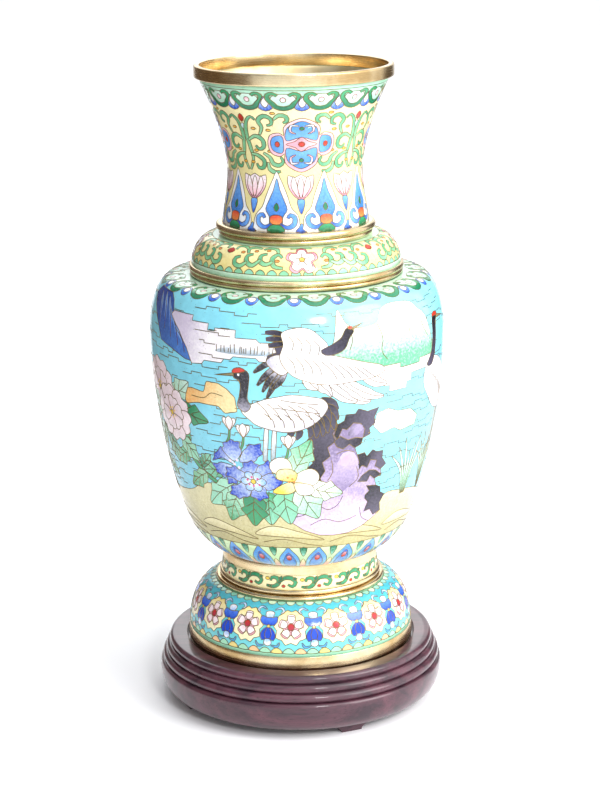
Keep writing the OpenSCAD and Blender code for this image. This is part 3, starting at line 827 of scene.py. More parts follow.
def specks(sheet, x, y, places, size, ink):
    """Small spots of glass about a point, dropped in with no wire round them."""
    for dx, dy in places:
        cell(sheet, disc(x + dx, y + dy, size, sides=6), ink, wired=False)


def blue_peonies(sheet):
    """Two blue peonies that overlap, their petals pale at the root and deep at the rim."""
    far, near = (-42, 88), (-30, 77)
    for spread, tip in (
            ([(-42, 88), (-50, 91), (-59, 88), (-57, 93), (-51, 99), (-46, 97)], (-56, 93)),
            ([(-42, 90), (-50, 97), (-49, 102), (-43, 105), (-37, 104), (-36, 97)], (-43, 105)),
            ([(-38, 90), (-35, 98), (-31, 103), (-23, 104), (-22, 97), (-28, 91)], (-25, 103)),
            ([(-42, 86), (-52, 88), (-60, 86), (-57, 80), (-51, 77), (-44, 80)], (-58, 82)),
            ([(-42, 86), (-50, 80), (-49, 73), (-42, 74), (-38, 82)], (-48, 74))):
        petal(sheet, notched(spread), "#cfe2f6", "#1743bb", far, tip)
    specks(sheet, *far, ((-3, 2), (2, 3), (3, -2), (-2, -3), (0, 0)), 1.1, "#e9d6df")
    for spread, tip in (
            ([(-30, 78), (-38, 84), (-36, 90), (-30, 92), (-25, 89), (-26, 82)], (-32, 92)),
            ([(-29, 78), (-26, 88), (-19, 93), (-15, 88), (-17, 82), (-23, 77)], (-17, 91)),
            ([(-29, 77), (-18, 84), (-10, 78), (-12, 73), (-20, 71), (-26, 73)], (-11, 77)),
            ([(-30, 76), (-22, 73), (-20, 66), (-27, 63), (-33, 66), (-33, 72)], (-25, 64)),
            ([(-31, 76), (-34, 66), (-42, 63), (-49, 66), (-47, 72), (-38, 76)], (-46, 65)),
            ([(-31, 78), (-40, 76), (-50, 79), (-49, 85), (-42, 87), (-36, 83)], (-50, 82))):
        petal(sheet, notched(spread), "#cfe2f6", "#1743bb", near, tip)
    for k in range(6):
        a = k * math.pi / 3
        spread = [near] + [(near[0] + rx * math.cos(a + b), near[1] + ry * math.sin(a + b))
                           for rx, ry, b in ((7, 6, -0.45), (9, 7.5, 0), (7, 6, 0.45))]
        tip = (near[0] + 9 * math.cos(a), near[1] + 8 * math.sin(a))
        petal(sheet, spread, "#e8eef8", "#7fb2ee", near, tip)
    specks(sheet, *near, ((-4, 1), (-1, 3), (3, 2), (4, -2), (0, -3), (-3, -2)), 0.9, "#d25f86")
    cell(sheet, disc(*near, 1.8, sides=8), YELLOW)


def yellow_flower(sheet):
    """A white and yellow peony with broad cupped petals."""
    for spread, ink, shade, root, tip in (
            ([(-8, 80), (-17, 85), (-18, 91), (-12, 95), (-6, 93), (-4, 86)],
             WHITE, CREAM, (-14, 93), (-8, 82)),
            ([(-5, 79), (1, 85), (8, 87), (13, 83), (12, 77), (4, 74)],
             WHITE, CREAM, (11, 82), (-2, 78)),
            ([(-5, 78), (-14, 74), (-17, 70), (-8, 69), (-2, 72)],
             YELLOW, CREAM, (-12, 71), (-5, 77)),
            ([(-3, 77), (-1, 70), (4, 68), (10, 70), (9, 75), (3, 77)],
             WHITE, CREAM, (8, 70), (-2, 76)),
            ([(-5, 78), (-14, 80), (-13, 86), (-6, 87), (-1, 84), (-2, 79)],
             CREAM, YELLOW, (-8, 86), (-5, 78))):
        petal(sheet, spread, ink, shade, root, tip)
    specks(sheet, -5, 79, ((-2, 2), (1, 1), (-1, -1), (2, -1)), 0.9, ORANGE)


def rock(sheet):
    """A pierced garden rock: lilac and grey faces, and black ones behind its ragged upper edge."""
    edge = [(4, 86), (9, 91), (7, 97), (10, 101), (5, 106), (9, 111), (8, 116), (13, 117), (14, 121),
            (19, 119), (22, 122), (24, 116), (28, 118), (29, 122), (35, 122), (37, 125), (43, 122.6),
            (51, 124), (48, 118), (49, 114), (45, 111), (46, 107), (41, 105), (40, 101), (36, 99),
            (38, 94), (43, 95), (45, 92), (49, 96), (52, 94), (57, 94), (57, 89), (61, 84), (57, 81),
            (58, 77), (53, 75), (55, 70), (59, 68), (60, 64), (64, 62), (61, 56), (63, 50), (57, 46),
            (48, 41), (38, 37.6), (26, 37), (15, 38), (4, 42), (-8, 50), (-4, 60), (4, 70)]
    cell(sheet, straight(edge), "#d3c0e4", "#7d6f90", [(20, 44), (30, 100)])
    for first, last, inner in (       # each black face follows the edge and comes back inside it
            (0, 11, [(24, 115), (21, 110), (23, 105), (18, 101), (20, 95), (15, 91), (17, 85),
                     (14, 80), (16, 75), (11, 77), (12, 83)]),
            (11, 23, [(42, 111), (39, 115), (34, 116), (30, 112), (27, 113), (24, 106), (22, 109)]),
            (23, 25, [(32, 102), (28, 99), (24, 101), (22, 105), (26, 108), (31, 105), (36, 106),
                      (41, 105)]),
            (27, 34, [(52, 84), (53, 88), (48, 89), (46, 84), (42, 86), (38, 81), (35, 83), (40, 88),
                      (38, 94), (43, 95)]),
            (34, 36, [(49, 78), (47, 74), (40, 75), (43, 79), (48, 82), (53, 81)]),
            (36, 42, [(57, 48), (53, 53), (48, 52), (50, 59), (46, 63), (50, 67), (47, 71)])):
        face = edge[first:last] + inner
        cell(sheet, straight(face), BLACK, "#524c5e", [face[0], face[len(face) // 2]])
    hollow = straight([(24, 88), (28, 96), (34, 97), (38, 92), (40, 84), (36, 74), (28, 68), (20, 74)],
                      step=7)
    for face, ink, shade, fade in (
            (hollow, "#b9a9c8", "#84769a", [(28, 94), (30, 70)]),
            ([(27, 89), (29, 94), (33, 92), (31, 87)], "#dc9fb8", "#b9a9c8", [(30, 92), (30, 87)]),
            ([(28, 62), (34, 70), (44, 70), (47, 62), (44, 52), (34, 50)],
             "#dccbe8", "#9a8aae", [(36, 52), (40, 70)]),
            ([(31, 108), (37, 108), (41, 112), (38, 115), (33, 113)],
             "#9a8cab", SLATE, [(36, 110), (30, 110)])):
        cell(sheet, smooth(face), ink, shade, fade, False)
    for path in ([(8, 46), (18, 50), (30, 47), (42, 50)], [(12, 62), (20, 57), (27, 60), (30, 66)],
                 [(21, 92), (22, 84), (19, 78)], [(54, 44), (47, 48), (44, 56)],
                 [(-4, 52), (6, 55), (12, 64)], [(34, 72), (40, 78), (38, 86)],
                 [(24, 96), (30, 98), (36, 96)]):
        line(sheet, path)


def legs(sheet, x, hip, foot):
    """A crane's two thin legs."""
    for dx in (0, 5):
        shin = [(x + dx + 1, hip), (x + dx, (hip + foot) / 2), (x + dx - 1, foot)]
        cell(sheet, ribbon(shin, 3, 0.8), "#e3e8ea", "#9fb0b8", [(0, hip), (0, foot)])


def standing_crane(sheet):
    """A red-crowned crane on one spot, its neck up and its black plumes over the tail."""
    legs(sheet, -20, 114, 92)
    body_line = [(-36, 131), (-34, 124), (-30, 120), (-25, 116), (-15, 113), (-5, 112), (6, 115),
                 (14, 121), (18, 128), (15, 133), (8, 135), (-3, 136.5), (-12, 135), (-20, 133),
                 (-27, 130), (-31, 128)]
    for path in ([(14, 134), (20, 131), (24, 126)], [(15, 130), (21, 126), (24, 119)],
                 [(14, 127), (20, 121), (22, 113)], [(10, 122), (15, 116), (15, 109)],
                 [(4, 119), (8, 114), (7, 108)], [(-2, 117), (1, 112), (-1, 107)],
                 [(-5, 117), (-4, 112), (-6, 108)], [(13, 132), (17, 126), (19, 117)],
                 [(12, 125), (17, 118), (18, 111)], [(7, 120), (11, 115), (11, 108)]):
        strip(sheet, path, 4.4, 0.25, BLACK, SLATE)
    cell(sheet, smooth(body_line), "#f2f0f3", "#c9c5d2", [(-12, 130), (-4, 112)])
    for k in range(6):
        x = -24 + k * 6
        line(sheet, [(x, 131 - k * 0.4), (x + 5, 126), (x + 8, 120)])
        line(sheet, [(x + 4, 124), (x + 9, 120), (x + 10, 115)])
    for path in ([(-10, 133), (2, 131), (12, 130)], [(-14, 128), (0, 126), (13, 124)]):
        line(sheet, path)
    neck = [(-38, 146), (-38, 150.5), (-33, 152), (-28.5, 149), (-29, 141), (-30, 133), (-28, 128),
            (-32, 124), (-36.5, 128), (-35, 134), (-34, 142), (-36, 145)]
    cell(sheet, smooth(neck), BLACK, GREY, [(-33, 134), (-33, 126)])
    cell(sheet, smooth([(-39, 149), (-38, 151.5), (-34, 152.6), (-30.5, 151), (-33, 149.6),
                        (-36, 149)]), RED)
    cell(sheet, straight([(-38, 147), (-38, 149), (-51, 146.4)]), HORN)
    cell(sheet, disc(-35, 148, 0.8, sides=6), WHITE, wired=False)


def flying_crane(sheet):
    """A crane in flight: flight feathers spread at the left, plumes trailing, neck stretched ahead."""
    for path in ([(-7, 174), (-13, 175), (-18.5, 175)], [(-7, 171.4), (-13, 171.4), (-18, 171)],
                 [(-7, 168.6), (-12, 168), (-16.5, 167)]):
        strip(sheet, path, 3.2, 0.6, BLACK, SLATE)
    cell(sheet, straight([(-8, 167), (-13, 166), (-12, 163), (-17, 161), (-18, 158), (-9, 158)]),
         BLACK, SLATE)
    for path in ([(-13, 157), (-19, 155), (-25.5, 150)], [(-12, 155), (-18, 149), (-23.5, 142)],
                 [(-10, 153), (-16, 146), (-20.5, 138)], [(-8, 152), (-13, 144), (-18, 134)],
                 [(-6, 151), (-10, 145), (-14.5, 140)]):
        cell(sheet, ribbon(path, 3.4, 0.3), BLACK, "#c9c6d2", [path[1], path[0]])
    cell(sheet, smooth([(-18, 157), (-14, 161), (-8, 161), (-4, 154), (-8, 149), (-13, 151)]),
         "#b5b1c0", "#efeff2", [(-16, 154), (-5, 157)])
    for path in ([(24, 148), (34, 139), (46, 132.6), (54, 131)],
                 [(16, 150), (26, 138), (38, 130), (45, 129)],
                 [(12, 150), (20, 140), (30, 132), (36, 130)],
                 [(8, 151), (13, 143), (18, 138), (20, 134.6)],
                 [(4, 151), (7, 144), (12, 139.6)], [(36, 150), (46, 142), (56, 138.6)]):
        strip(sheet, path, 7, 0.2, "#f6f5f8", "#d9d6e0")
        line(sheet, path)
    wing = [(-9, 175), (0, 178), (8, 177), (14, 172), (18, 167), (17, 162), (26, 159), (40, 154.6),
            (52, 151), (54, 147), (46, 144), (34, 143), (22, 142), (12, 143), (5, 145), (-2, 148),
            (-7, 153), (-10, 160), (-8, 168)]
    cell(sheet, smooth(wing), "#f6f5f8", "#dedbe5", [(10, 170), (40, 144)])
    for k in range(6):
        line(sheet, [(14 + k * 5, 157 - k * 1.2), (20 + k * 5, 151 - k), (23 + k * 5, 145.6 - k * 0.3)])
    for k in range(4):
        line(sheet, [(-5 + k * 5, 173 - k), (-2 + k * 5, 169 - k), (-3 + k * 5, 164 - k)])
        line(sheet, [(-6 + k * 5, 161 - k), (-2 + k * 5, 156 - k), (-1 + k * 5, 150 - k * 0.4)])
    cell(sheet, smooth([(14, 164), (20, 167), (26, 171), (29, 176), (33, 177), (34, 174), (31, 170),
                        (28, 164), (22, 161), (16, 161)]), BLACK, SLATE, [(30, 174), (16, 163)])
    cell(sheet, disc(32, 176.6, 1.6, 1.0, 8), RED)
    cell(sheet, straight([(33, 175), (34, 177), (41, 179)]), HORN)


def wading_crane(sheet):
    """The third crane, seen from its far side: black neck raised, white body in long soft feathers."""
    legs(sheet, 116, 112, 84)
    cell(sheet, smooth([(92, 143), (100, 147), (112, 144), (126, 134), (140, 124), (150, 112), (138, 110),
                        (124, 108), (108, 112), (97, 122), (90, 132)]), "#f2f1f4", "#c9c6d4",
         [(100, 140), (120, 108)])
    for k in range(7):
        line(sheet, [(98 + k * 5, 138 - k * 3), (106 + k * 5, 130 - k * 3), (110 + k * 5, 120 - k * 1.5)])
    for path in ([(138, 122), (148, 114), (153, 103)], [(132, 116), (142, 108), (146, 98)],
                 [(126, 112), (134, 104), (136, 96)]):
        strip(sheet, path, 4.4, 0.25, BLACK, SLATE)
    cell(sheet, smooth([(93, 143), (99, 152), (100, 162), (101, 171), (105, 174), (109, 171), (106, 168),
                        (105, 158), (104, 149), (100, 142)]), BLACK, SLATE, [(103, 170), (97, 144)])
    cell(sheet, smooth([(101, 172), (104, 174.6), (109, 174), (110, 171.6), (105, 172)]), RED)
    cell(sheet, straight([(108, 170), (109, 172.4), (120, 170)]), HORN)


def orange_cloud(sheet):
    """An orange bank of evening cloud behind the standing crane."""
    stepped_cloud(sheet, [(-78, 133), (-70, 135), (-60, 134), (-57, 141), (-49, 141), (-43, 138),
                          (-38, 133), (-37, 124), (-45, 122), (-50, 126), (-65, 126), (-75, 124)],
                  "#e6a964", "#f2dba4", [(-78, 130), (-42, 130)])
    line(sheet, [(-70, 130), (-60, 130), (-54, 134), (-46, 133)])


def far_clouds(sheet):
    """Small pink and white banks at the right."""
    cell(sheet, straight([(44, 148), (52, 150), (66, 150), (66, 147), (84, 147), (84, 149.6), (99, 149.6),
                          (99, 142), (76, 142), (76, 137), (72, 137), (72, 133), (58, 133), (58, 137),
                          (54, 137), (54, 141), (44, 141)]), "#f4e6ea", WHITE, [(48, 145), (96, 145)])
    stepped_cloud(sheet, [(50, 120), (58, 122), (66, 119), (78, 118), (86, 112), (84, 106), (70, 105),
                          (64, 108), (54, 106), (48, 112)], WHITE, "#a9dcb8", [(54, 116), (80, 107)])


def buds(sheet):
    """Small white buds on thin stems over the blue peonies."""
    for x, y in ((-43, 115), (-34, 111), (-6, 105)):
        cell(sheet, ribbon([(x, y - 3), (x - 1, y - 9), (x - 4, y - 14)], 1.4, 0.8), LEAF_GREEN)
        for turn in (-0.6, 0.6, 0):
            tip = (x + 6 * math.sin(turn), y + 5.5 * math.cos(turn))
            petal(sheet, [(x, y - 4), (x + 3.4 * math.sin(turn) - 2.6, y + 2), tip,
                          (x + 3.4 * math.sin(turn) + 2.6, y + 2)], WHITE, "#efd9dd", tip, (x, y - 4))


def peony_bush(sheet):
    """The leaves that the two peonies stand in."""
    for base, tip, wide, ink, shade in (
            ((-44, 74), (-68, 56), 20, "#a9dcc0", MINT), ((-20, 70), (-20, 46), 22, LEAF_GREEN, MINT),
            ((-42, 68), (-52, 46), 19, "#b5e2c6", LEAF_GREEN),
            ((-30, 68), (-33, 44), 21, "#2d8560", LEAF_GREEN),
            ((-10, 72), (-6, 47), 22, "#7cc69c", MINT), ((0, 74), (14, 51), 22, "#cfeed6", "#8fd0a8"),
            ((6, 74), (30, 68), 15, "#eef5ea", "#a8dcbb"), ((-4, 84), (8, 107), 17, "#b9e2c3", "#5fae83"),
            ((-50, 82), (-68, 80), 12, LEAF_GREEN, MINT)):
        leaf(sheet, base, tip, wide, ink, shade)


def pink_bush(sheet):
    """A pale pink peony with dark leaves, at the left of the scene."""
    cell(sheet, ribbon([(-92, 116), (-84, 96), (-68, 78), (-50, 70)], 3, 0.8), DARK_GREEN, LEAF_GREEN)
    for base, tip, wide, ink, shade in (
            ((-92, 124), (-72, 138), 16, "#8ec5a4", PALE_MINT),
            ((-84, 120), (-58, 114), 15, DARK_GREEN, LEAF_GREEN),
            ((-90, 116), (-76, 98), 16, "#86b89a", LEAF_GREEN),
            ((-98, 112), (-106, 92), 16, DARK_GREEN, MINT),
            ((-80, 90), (-98, 80), 13, LEAF_GREEN, MINT), ((-70, 82), (-60, 92), 10, DARK_GREEN, MINT),
            ((-66, 78), (-84, 66), 13, "#9ccfae", LEAF_GREEN),
            ((-116, 112), (-132, 98), 15, "#8ec5a4", MINT)):
        leaf(sheet, base, tip, wide, ink, shade)
    blossom(sheet, -108, 128, 21, 6, "#f2e4e8", "#e3c3cc", 0.3)


# The scene as it goes round: the front group, then the same kinds of plants, clouds and birds in
# another order on the back, as the workshop repeats its patterns.
stepped_cloud(body, [(-276, 150), (-262, 156), (-250, 154), (-240, 160), (-222, 158), (-214, 152),
                     (-226, 148), (-244, 146), (-262, 144)], WHITE, LILAC, [(-276, 150), (-214, 150)])
stepped_cloud(body, [(168, 172), (182, 178), (198, 176), (214, 180), (228, 174), (222, 168), (204, 166),
                     (186, 164)], WHITE, "#f0c9b0", [(168, 170), (228, 172)])
cliff(body)
mountain(body)
cloud_bank(body)
far_clouds(body)
orange_cloud(body)
for along, up, size in ((-116, -2, 0.95), (-200, -8, 0.8)):      # two more mountains behind
    draw_at(body, along, up, -1, size)
    mountain(body)
    far_clouds(body)
draw_at(body)
ground(body)
for x, y, lean in ((84, 58, 1), (108, 56, 0.8), (-140, 58, 1), (236, 60, 1), (-232, 55, 0.9)):
    reeds(body, x, y, lean)
for motif in (pink_bush, rock, peony_bush, standing_crane, buds, blue_peonies, yellow_flower,
              flying_crane, wading_crane):
    motif(body)
for motif, along, up, flip, size in ((standing_crane, 230, 2, -1, 0.92), (rock, 206, -4, -1, 0.95),
                                     (peony_bush, 236, -6, 1, 0.95)):
    draw_at(body, along, up, flip, size)
    motif(body)
blossom(body, -34, 80, 19, 6, "#d0607c", "#f3d3da", 0.1)
blossom(body, -8, 84, 13, 5, "#e9b84a", "#f6ecc4", 0.5)
draw_at(body, -204, -4)
flying_crane(body)
draw_at(body, -196, -8, -1, 0.95)
pink_bush(body)
draw_at(body)

# Petal border at the foot: 23 blue petals with a red eye, and pink tips and dark ones between them.
PETALS = 23
PETALS_TOP = 28
band(body, 0, PETALS_TOP, "#b3d3a0", "#cfe6b4")
for x, between in spaced(body, PETALS, 15.5):
    draw_at(body, x)
    cell(body, smooth(mirrored([(-8, 0), (-9.5, 10), (-8, 18), (-3, 25), (0, PETALS_TOP)]), step=4),
         "#a6dbe0", "#5f9be0", [(0, 2), (0, 20)])
    cell(body, smooth(mirrored([(-4.5, 3), (-6, 11), (-3.6, 18), (0, 23)]), step=4),
         "#7fb4ea", "#3465c4", [(0, 4), (0, 22)])
    cell(body, disc(0, 17, 2.4, 3.2, 10), RED, PINK, [(0, 15), (0, 21)])
    draw_at(body, between)
    cell(body, smooth(mirrored([(-2.6, 0), (-3, 8), (0, 16)]), step=4), PINK, CREAM, [(0, 2), (0, 15)])
    cell(body, smooth([(-3, 27.5), (0, 19), (3, 27.5)], step=4), DARK_GREEN, MINT, [(0, 27), (0, 20)])
draw_at(body)

# Shoulder border: 20 dark green scrolls with curled ends, and a white drop with a blue rim between.
SCROLLS = 20
SHOULDER_LINE = 197


def scroll_cup(sheet, y, size, wide, thick):
    """A scroll that opens upwards, curled inwards at both ends."""
    half = [(x * size * wide, y + up * size) for x, up in (
        (2.2, 8), (3.8, 9.5), (5.6, 8.6), (5.8, 5.8), (4.2, 3.2), (2.8, 1.0), (0, 0))]
    cell(sheet, ribbon(mirrored(half), thick, 0.6), DARK_GREEN, LEAF_GREEN, [(0, y), (0, y + 9 * size)])


band(body, SHOULDER_LINE, body["height"], "#e6f0df", "#a9d8bd")
for x, between in spaced(body, SCROLLS, -1.5):
    draw_at(body, x)
    cell(body, smooth(mirrored([(0, 200), (-4.6, 196.5), (-3, 192.6), (0, 191.4)]), step=4),
         SKY_BLUE, ROYAL_BLUE, [(0, 197), (0, 192)])
    cell(body, disc(0, 196.2, 2.9, 2.4, 10), WHITE)
    draw_at(body, between)
    cell(body, smooth(mirrored([(0, 208), (-6, 206), (-9.6, 199), (-5, 192.6), (0, 191.2)]), step=4),
         PALE_MINT, "#9fd0b4", [(0, 206), (0, 194)])
    scroll_cup(body, 192.8, 1.36, 1.28, 3.4)
    cell(body, disc(0, 199.5, 2.4, 2, 8), "#f0d9dc")
draw_at(body)
fire(body, "body", "turquoise_enamel")


# ---- Neck enamel and its wires ----
# Real piece: cream-yellow glass with green scrolls and four blue medallions on the flaring neck,
# a green scroll border under the rim and nine white-edged lappets round its foot.
neck = new_sheet("neck_enamel", 45, CREAM, "#e6da9e", ((0, 77), (0, 35)))
MEDALLIONS = 4
FACE = 4.2               # mm, how far the front medallion stands to the right of the front
EYE = 55                 # mm, the height of a medallion's middle
CURLS = [                # green scrolls in half a quarter, from the medallion out to the red bud
    [(34.6, 38), (31.8, 45), (33, 53), (34, 61), (32.5, 69), (29, 73), (26.5, 71)],
    [(33.4, 57), (28, 60), (23.6, 57.5), (23.4, 53), (26.4, 51.4), (28.6, 53.6)],
    [(33, 48), (28.4, 47.4), (24, 44), (24.8, 39.8), (28.2, 39.4), (29.4, 42)],
    [(25, 61), (23, 66), (24.6, 70.4), (21, 73.8), (17.2, 72), (17, 68.4), (19.8, 67.4)],
    [(24, 49), (20, 46.4), (18, 42.4), (14, 41.4), (11.4, 43.8), (13, 46.6)],
    [(15.6, 71.4), (12.4, 74.4), (8.8, 73.6), (8.2, 70.6), (10.4, 69.4)],
    [(21.4, 43), (20.6, 39), (17, 37), (13.4, 37.6)]]
LEAFLETS = [((30, 64), (27, 66)), ((30.6, 51), (27, 50)), ((20.6, 63.4), (18, 65)),
            ((21, 50), (18.4, 50.6)), ((17.2, 75.4), (14.4, 76)), ((31, 43.4), (33.4, 42.4))]
for x, between in spaced(neck, MEDALLIONS, FACE):
    for side in (-1, 1):
        draw_at(neck, x, flip=side)
        for path in CURLS:
            strip(neck, path, 2.7, 0.5, "#93c899", "#5fa87c")
        for start, end in LEAFLETS:
            cell(neck, disc((start[0] + end[0]) / 2, (start[1] + end[1]) / 2, 1.5, 0.9, 8),
                 ORANGE, YELLOW, [start, end])
    draw_at(neck, x)
    cell(neck, smooth(mirrored([(0, 37), (-7, 39.8), (-10.4, 43.6), (-10.4, 49), (-13, 47),
                                (-18.6, 49), (-20.4, EYE), (-18.6, 61), (-13, 62.6), (-10.4, 60.6),
                                (-10.4, 66), (-7, 69.6), (0, 72.4)])),
         PINK, "#f1c8cf", [(0, 40), (0, 72)])
    for half, fade in (
            ([(0, 59.6), (-9, 57.4), (-9, 64.6), (-5.6, 68), (0, 70.4)], [(0, 58), (0, 70)]),
            ([(0, 50.4), (-9, 52.6), (-9, 45), (-5.6, 41.6), (0, 39.2)], [(0, 52), (0, 40)])):
        cell(neck, smooth(mirrored(half)), SKY_BLUE, "#3f86d4", fade)
    for side in (-1, 1):
        draw_at(neck, x, flip=side)
        cell(neck, smooth([(11, 50.6), (13.4, 49.2), (17.4, 50.8), (18.8, EYE), (17.4, 59.4),
                           (13.4, 60.8), (11, 59.2)]), SKY_BLUE, "#3f86d4", [(11, 0), (19, 0)])
        cell(neck, disc(14.6, EYE, 1.5, 1.9, 8), RED)
        cell(neck, ribbon([(1.6, 67), (6, 67.4), (6.6, 63.6), (3.6, 62)], 1.5),
             ICE_BLUE, PINK, [(0, 68), (0, 62)])
        cell(neck, ribbon([(1.6, 43), (6, 42.6), (6.6, 46.4), (3.6, 48)], 1.5),
             ICE_BLUE, PINK, [(0, 42), (0, 48)])
    draw_at(neck, x)
    cell(neck, smooth(mirrored([(0, 50.2), (-4, 53), (-9.4, EYE), (-4, 57), (0, 59.8)])),
         "#e79bab", "#f1c4cc", [(0, EYE), (8, EYE)])
    cell(neck, disc(0, EYE, 2, 1.7, 8), RED)
    for up in (65.4, 44.6):
        cell(neck, disc(0, up, 1.5, 1.3, 8), DARK_GREEN)
    draw_at(neck, between)
    cell(neck, smooth([(0, 74.6), (-2, 71.8), (0, 68.8), (2, 71.8)]), RED, DEEP_RED, [(0, 74), (0, 69)])
    cell(neck, smooth([(0, 68.4), (-1.6, 66.4), (0, 64), (1.6, 66.4)]), ICE_BLUE, MINT,
         [(0, 68), (0, 64)])

# Lappets round the foot of the neck, with a lotus bud between each two.
LAPPETS = 9
for x, between in spaced(neck, LAPPETS, -12):
    draw_at(neck, between)
    cell(neck, smooth(mirrored([(0, 35.6), (-4, 33.6), (-8.2, 35), (-8, 28), (-4, 22), (0, 20)])),
         "#f6e9ee", "#d58aa6", [(0, 34), (0, 20)])
    for dx in (-4.2, 0, 4.2):
        petal(neck, [(dx * 0.3, 21), (dx - 2.1, 28), (dx * 1.1, 34.4), (dx + 2.1, 28)],
              "#f8f0f3", PINK, (dx, 33), (dx * 0.3, 21))
    cell(neck, smooth(mirrored([(-2.2, 20), (-2, 16), (0, 11)])), SKY_BLUE, ROYAL_BLUE,
         [(0, 20), (0, 11)])
    draw_at(neck, x)
    cell(neck, smooth(mirrored([(12.4, 0), (14.6, 4.6), (13.6, 10.4), (9.4, 15.4), (7.6, 21),
                                (4.8, 28), (2.4, 33), (0, 37.6)]), step=3),
         WHITE, "#e6ecf2", [(0, 30), (0, 0)])
    cell(neck, smooth(mirrored([(3.4, 3.4), (4.4, 9.4), (7, 14), (4.8, 20), (2.2, 26), (0, 33)])),
         SKY_BLUE, "#2f6fc0", [(0, 31), (0, 6)])
    for side in (-1, 1):
        draw_at(neck, x, flip=side)
        cell(neck, ribbon([(3.4, 4.4), (7.4, 2.8), (11.2, 5), (11.6, 9), (8.8, 10.6), (7.4, 8.6)],
                          3, 0.6), SKY_BLUE, ROYAL_BLUE, [(12, 0), (3, 0)])
    draw_at(neck, x)
    for half, ink, shade, fade in (
            ([(-5.4, 0.3), (-4, 3.6), (0, 4.8)], DARK_GREEN, LEAF_GREEN, [(0, 0), (0, 5)]),
            ([(-2.4, 4.8), (-4, 7), (-3.4, 9.8), (0, 10.6)], "#d9503c", ORANGE, [(0, 10), (0, 4)]),
            ([(0, 12.6), (-1.7, 15), (0, 18)], DARK_GREEN, None, None)):
        cell(neck, smooth(mirrored(half)), ink, shade, fade)
    draw_at(neck, between)
    cell(neck, smooth(mirrored([(-3.6, 0.3), (-1.6, 3), (0, 5.6)])), SKY_BLUE, ROYAL_BLUE,
         [(0, 5), (0, 0)])
draw_at(neck)

# Border under the rim: 15 cup scrolls with white drops between, and a light green line on top.
CUPS = 15
RIM_BORDER, RIM_LINE = 80, 91.5
band(neck, RIM_BORDER, neck["height"], MINT, "#b7e0c6")
for x, between in spaced(neck, CUPS, 4):
    draw_at(neck, x)
    cell(neck, smooth(mirrored([(0, 87.4), (-3, 82), (-3.6, 79), (0, 77.2)])),
         "#9cc0ee", ROYAL_BLUE, [(0, 84), (0, 78)])
    cell(neck, smooth([(0, 86.6), (-2, 82.6), (0, 79.6), (2, 82.6)]), WHITE)
    draw_at(neck, between)
    cell(neck, smooth(mirrored([(-4, 88.6), (-6.6, 84), (-3.6, 79), (0, 77.6)])),
         "#a6dcbf", PALE_MINT, [(0, 79), (0, 88)])
    scroll_cup(neck, 79, 1.1, 1.2, 2.9)
    cell(neck, disc(0, 85, 1.5, 1.8, 8), "#f5dfe4", PINK, [(0, 84), (0, 87)])
draw_at(neck)
band(neck, RIM_LINE, neck["height"], "#a9dcbd")
fire(neck, "neck", "yellow_enamel")


# ---- Collar enamel and its wires ----
# Real piece: the domed shoulder collar, yellow glass with green key scrolls and four plum blossoms,
# between two pale green lines. It is fired on its own section and soldered in with the brass rings.
collar = new_sheet("collar_enamel", 60, CREAM, "#e6d68e", ((0, 26), (0, 6)))
PLUMS = 4
PLUM_UP = 13.5           # mm, the height of a plum blossom's middle
FIVE = [math.pi / 2 + 2 * math.pi * k / 5 for k in range(5)]     # where a blossom's petals point


def plum(up, reach, notch, side, spread, tip):
    """The outline of a plum blossom: five petals that meet at notch and are round from side to tip."""
    return smooth([(reach * r * math.cos(a + b), up + reach * r * math.sin(a + b)) for a in FIVE
                   for r, b in ((notch, -math.pi / 5), (side, -spread), (tip, 0), (side, spread))])


def arcs(sheet, count, half, inks):
    """A row of small arcs side by side, all the way round, in colours that take turns."""
    for k, (x, _) in enumerate(spaced(sheet, count)):
        draw_at(sheet, x)
        cell(sheet, smooth(mirrored(half)), inks[k % len(inks)])
    draw_at(sheet)


for low, high in ((0, 3.4), (25, collar["height"])):
    band(collar, low, high, "#a9dcbb", "#cfe9cf")
COLLAR_ARCS = 56
arcs(collar, COLLAR_ARCS, [(-2.8, 3.6), (-1.6, 5.8), (0, 6.6)], (MINT, "#86c69e"))
HOOKS = [                # green key scrolls from a plum blossom out to the red bud
    [(11, 8), (16, 9), (17.4, 14), (14, 17), (11.6, 14.6)],
    [(17, 12), (21, 10), (24.6, 12), (24.4, 16), (21, 17)],
    [(14, 18), (16, 22), (21.4, 23), (24, 20.6)],
    [(24.6, 13), (29, 9), (33, 11), (33.4, 15), (30, 16.4)],
    [(25.6, 21.6), (30, 23), (34.4, 21), (33.4, 17)],
    [(33, 11), (37, 8), (41, 9.4), (41, 13), (38, 14)],
    [(35, 20.6), (39, 23.4), (43, 22.4), (43.4, 19)],
    [(7, 22.6), (3, 24), (0, 22.8)]]
for x, between in spaced(collar, PLUMS, 3.5):
    for side in (-1, 1):
        draw_at(collar, x, flip=side)
        for path in HOOKS:
            strip(collar, path, 2.9, 0.55, "#8cc896", "#62ab80")
        for px, py in ((20.6, 20), (28.6, 19), (14.4, 12.4), (37.4, 17.4)):
            cell(collar, disc(px, py, 1.5, 1, 6), ORANGE)
    draw_at(collar, x)
    for reach, ink, shade in ((9.6, PINK, ROSE), (7.8, WHITE, "#f6dfe6")):
        cell(collar, plum(PLUM_UP, reach, 0.66, 0.95, 0.32, 1.02), ink, shade, [(0, 13), (0, 22)])
    for a in FIVE:
        line(collar, [(r * math.cos(a), PLUM_UP + r * math.sin(a)) for r in (1.6, 4.6)])
    cell(collar, disc(0, PLUM_UP, 1.7, sides=8), YELLOW, ORANGE, [(0, 14), (0, 12)])
    draw_at(collar, between)
    cell(collar, smooth([(-3, 17.4), (0, 15.6), (3, 17.6), (0, 20.2)]), RED, DEEP_RED,
         [(0, 20), (0, 16)])
draw_at(collar)
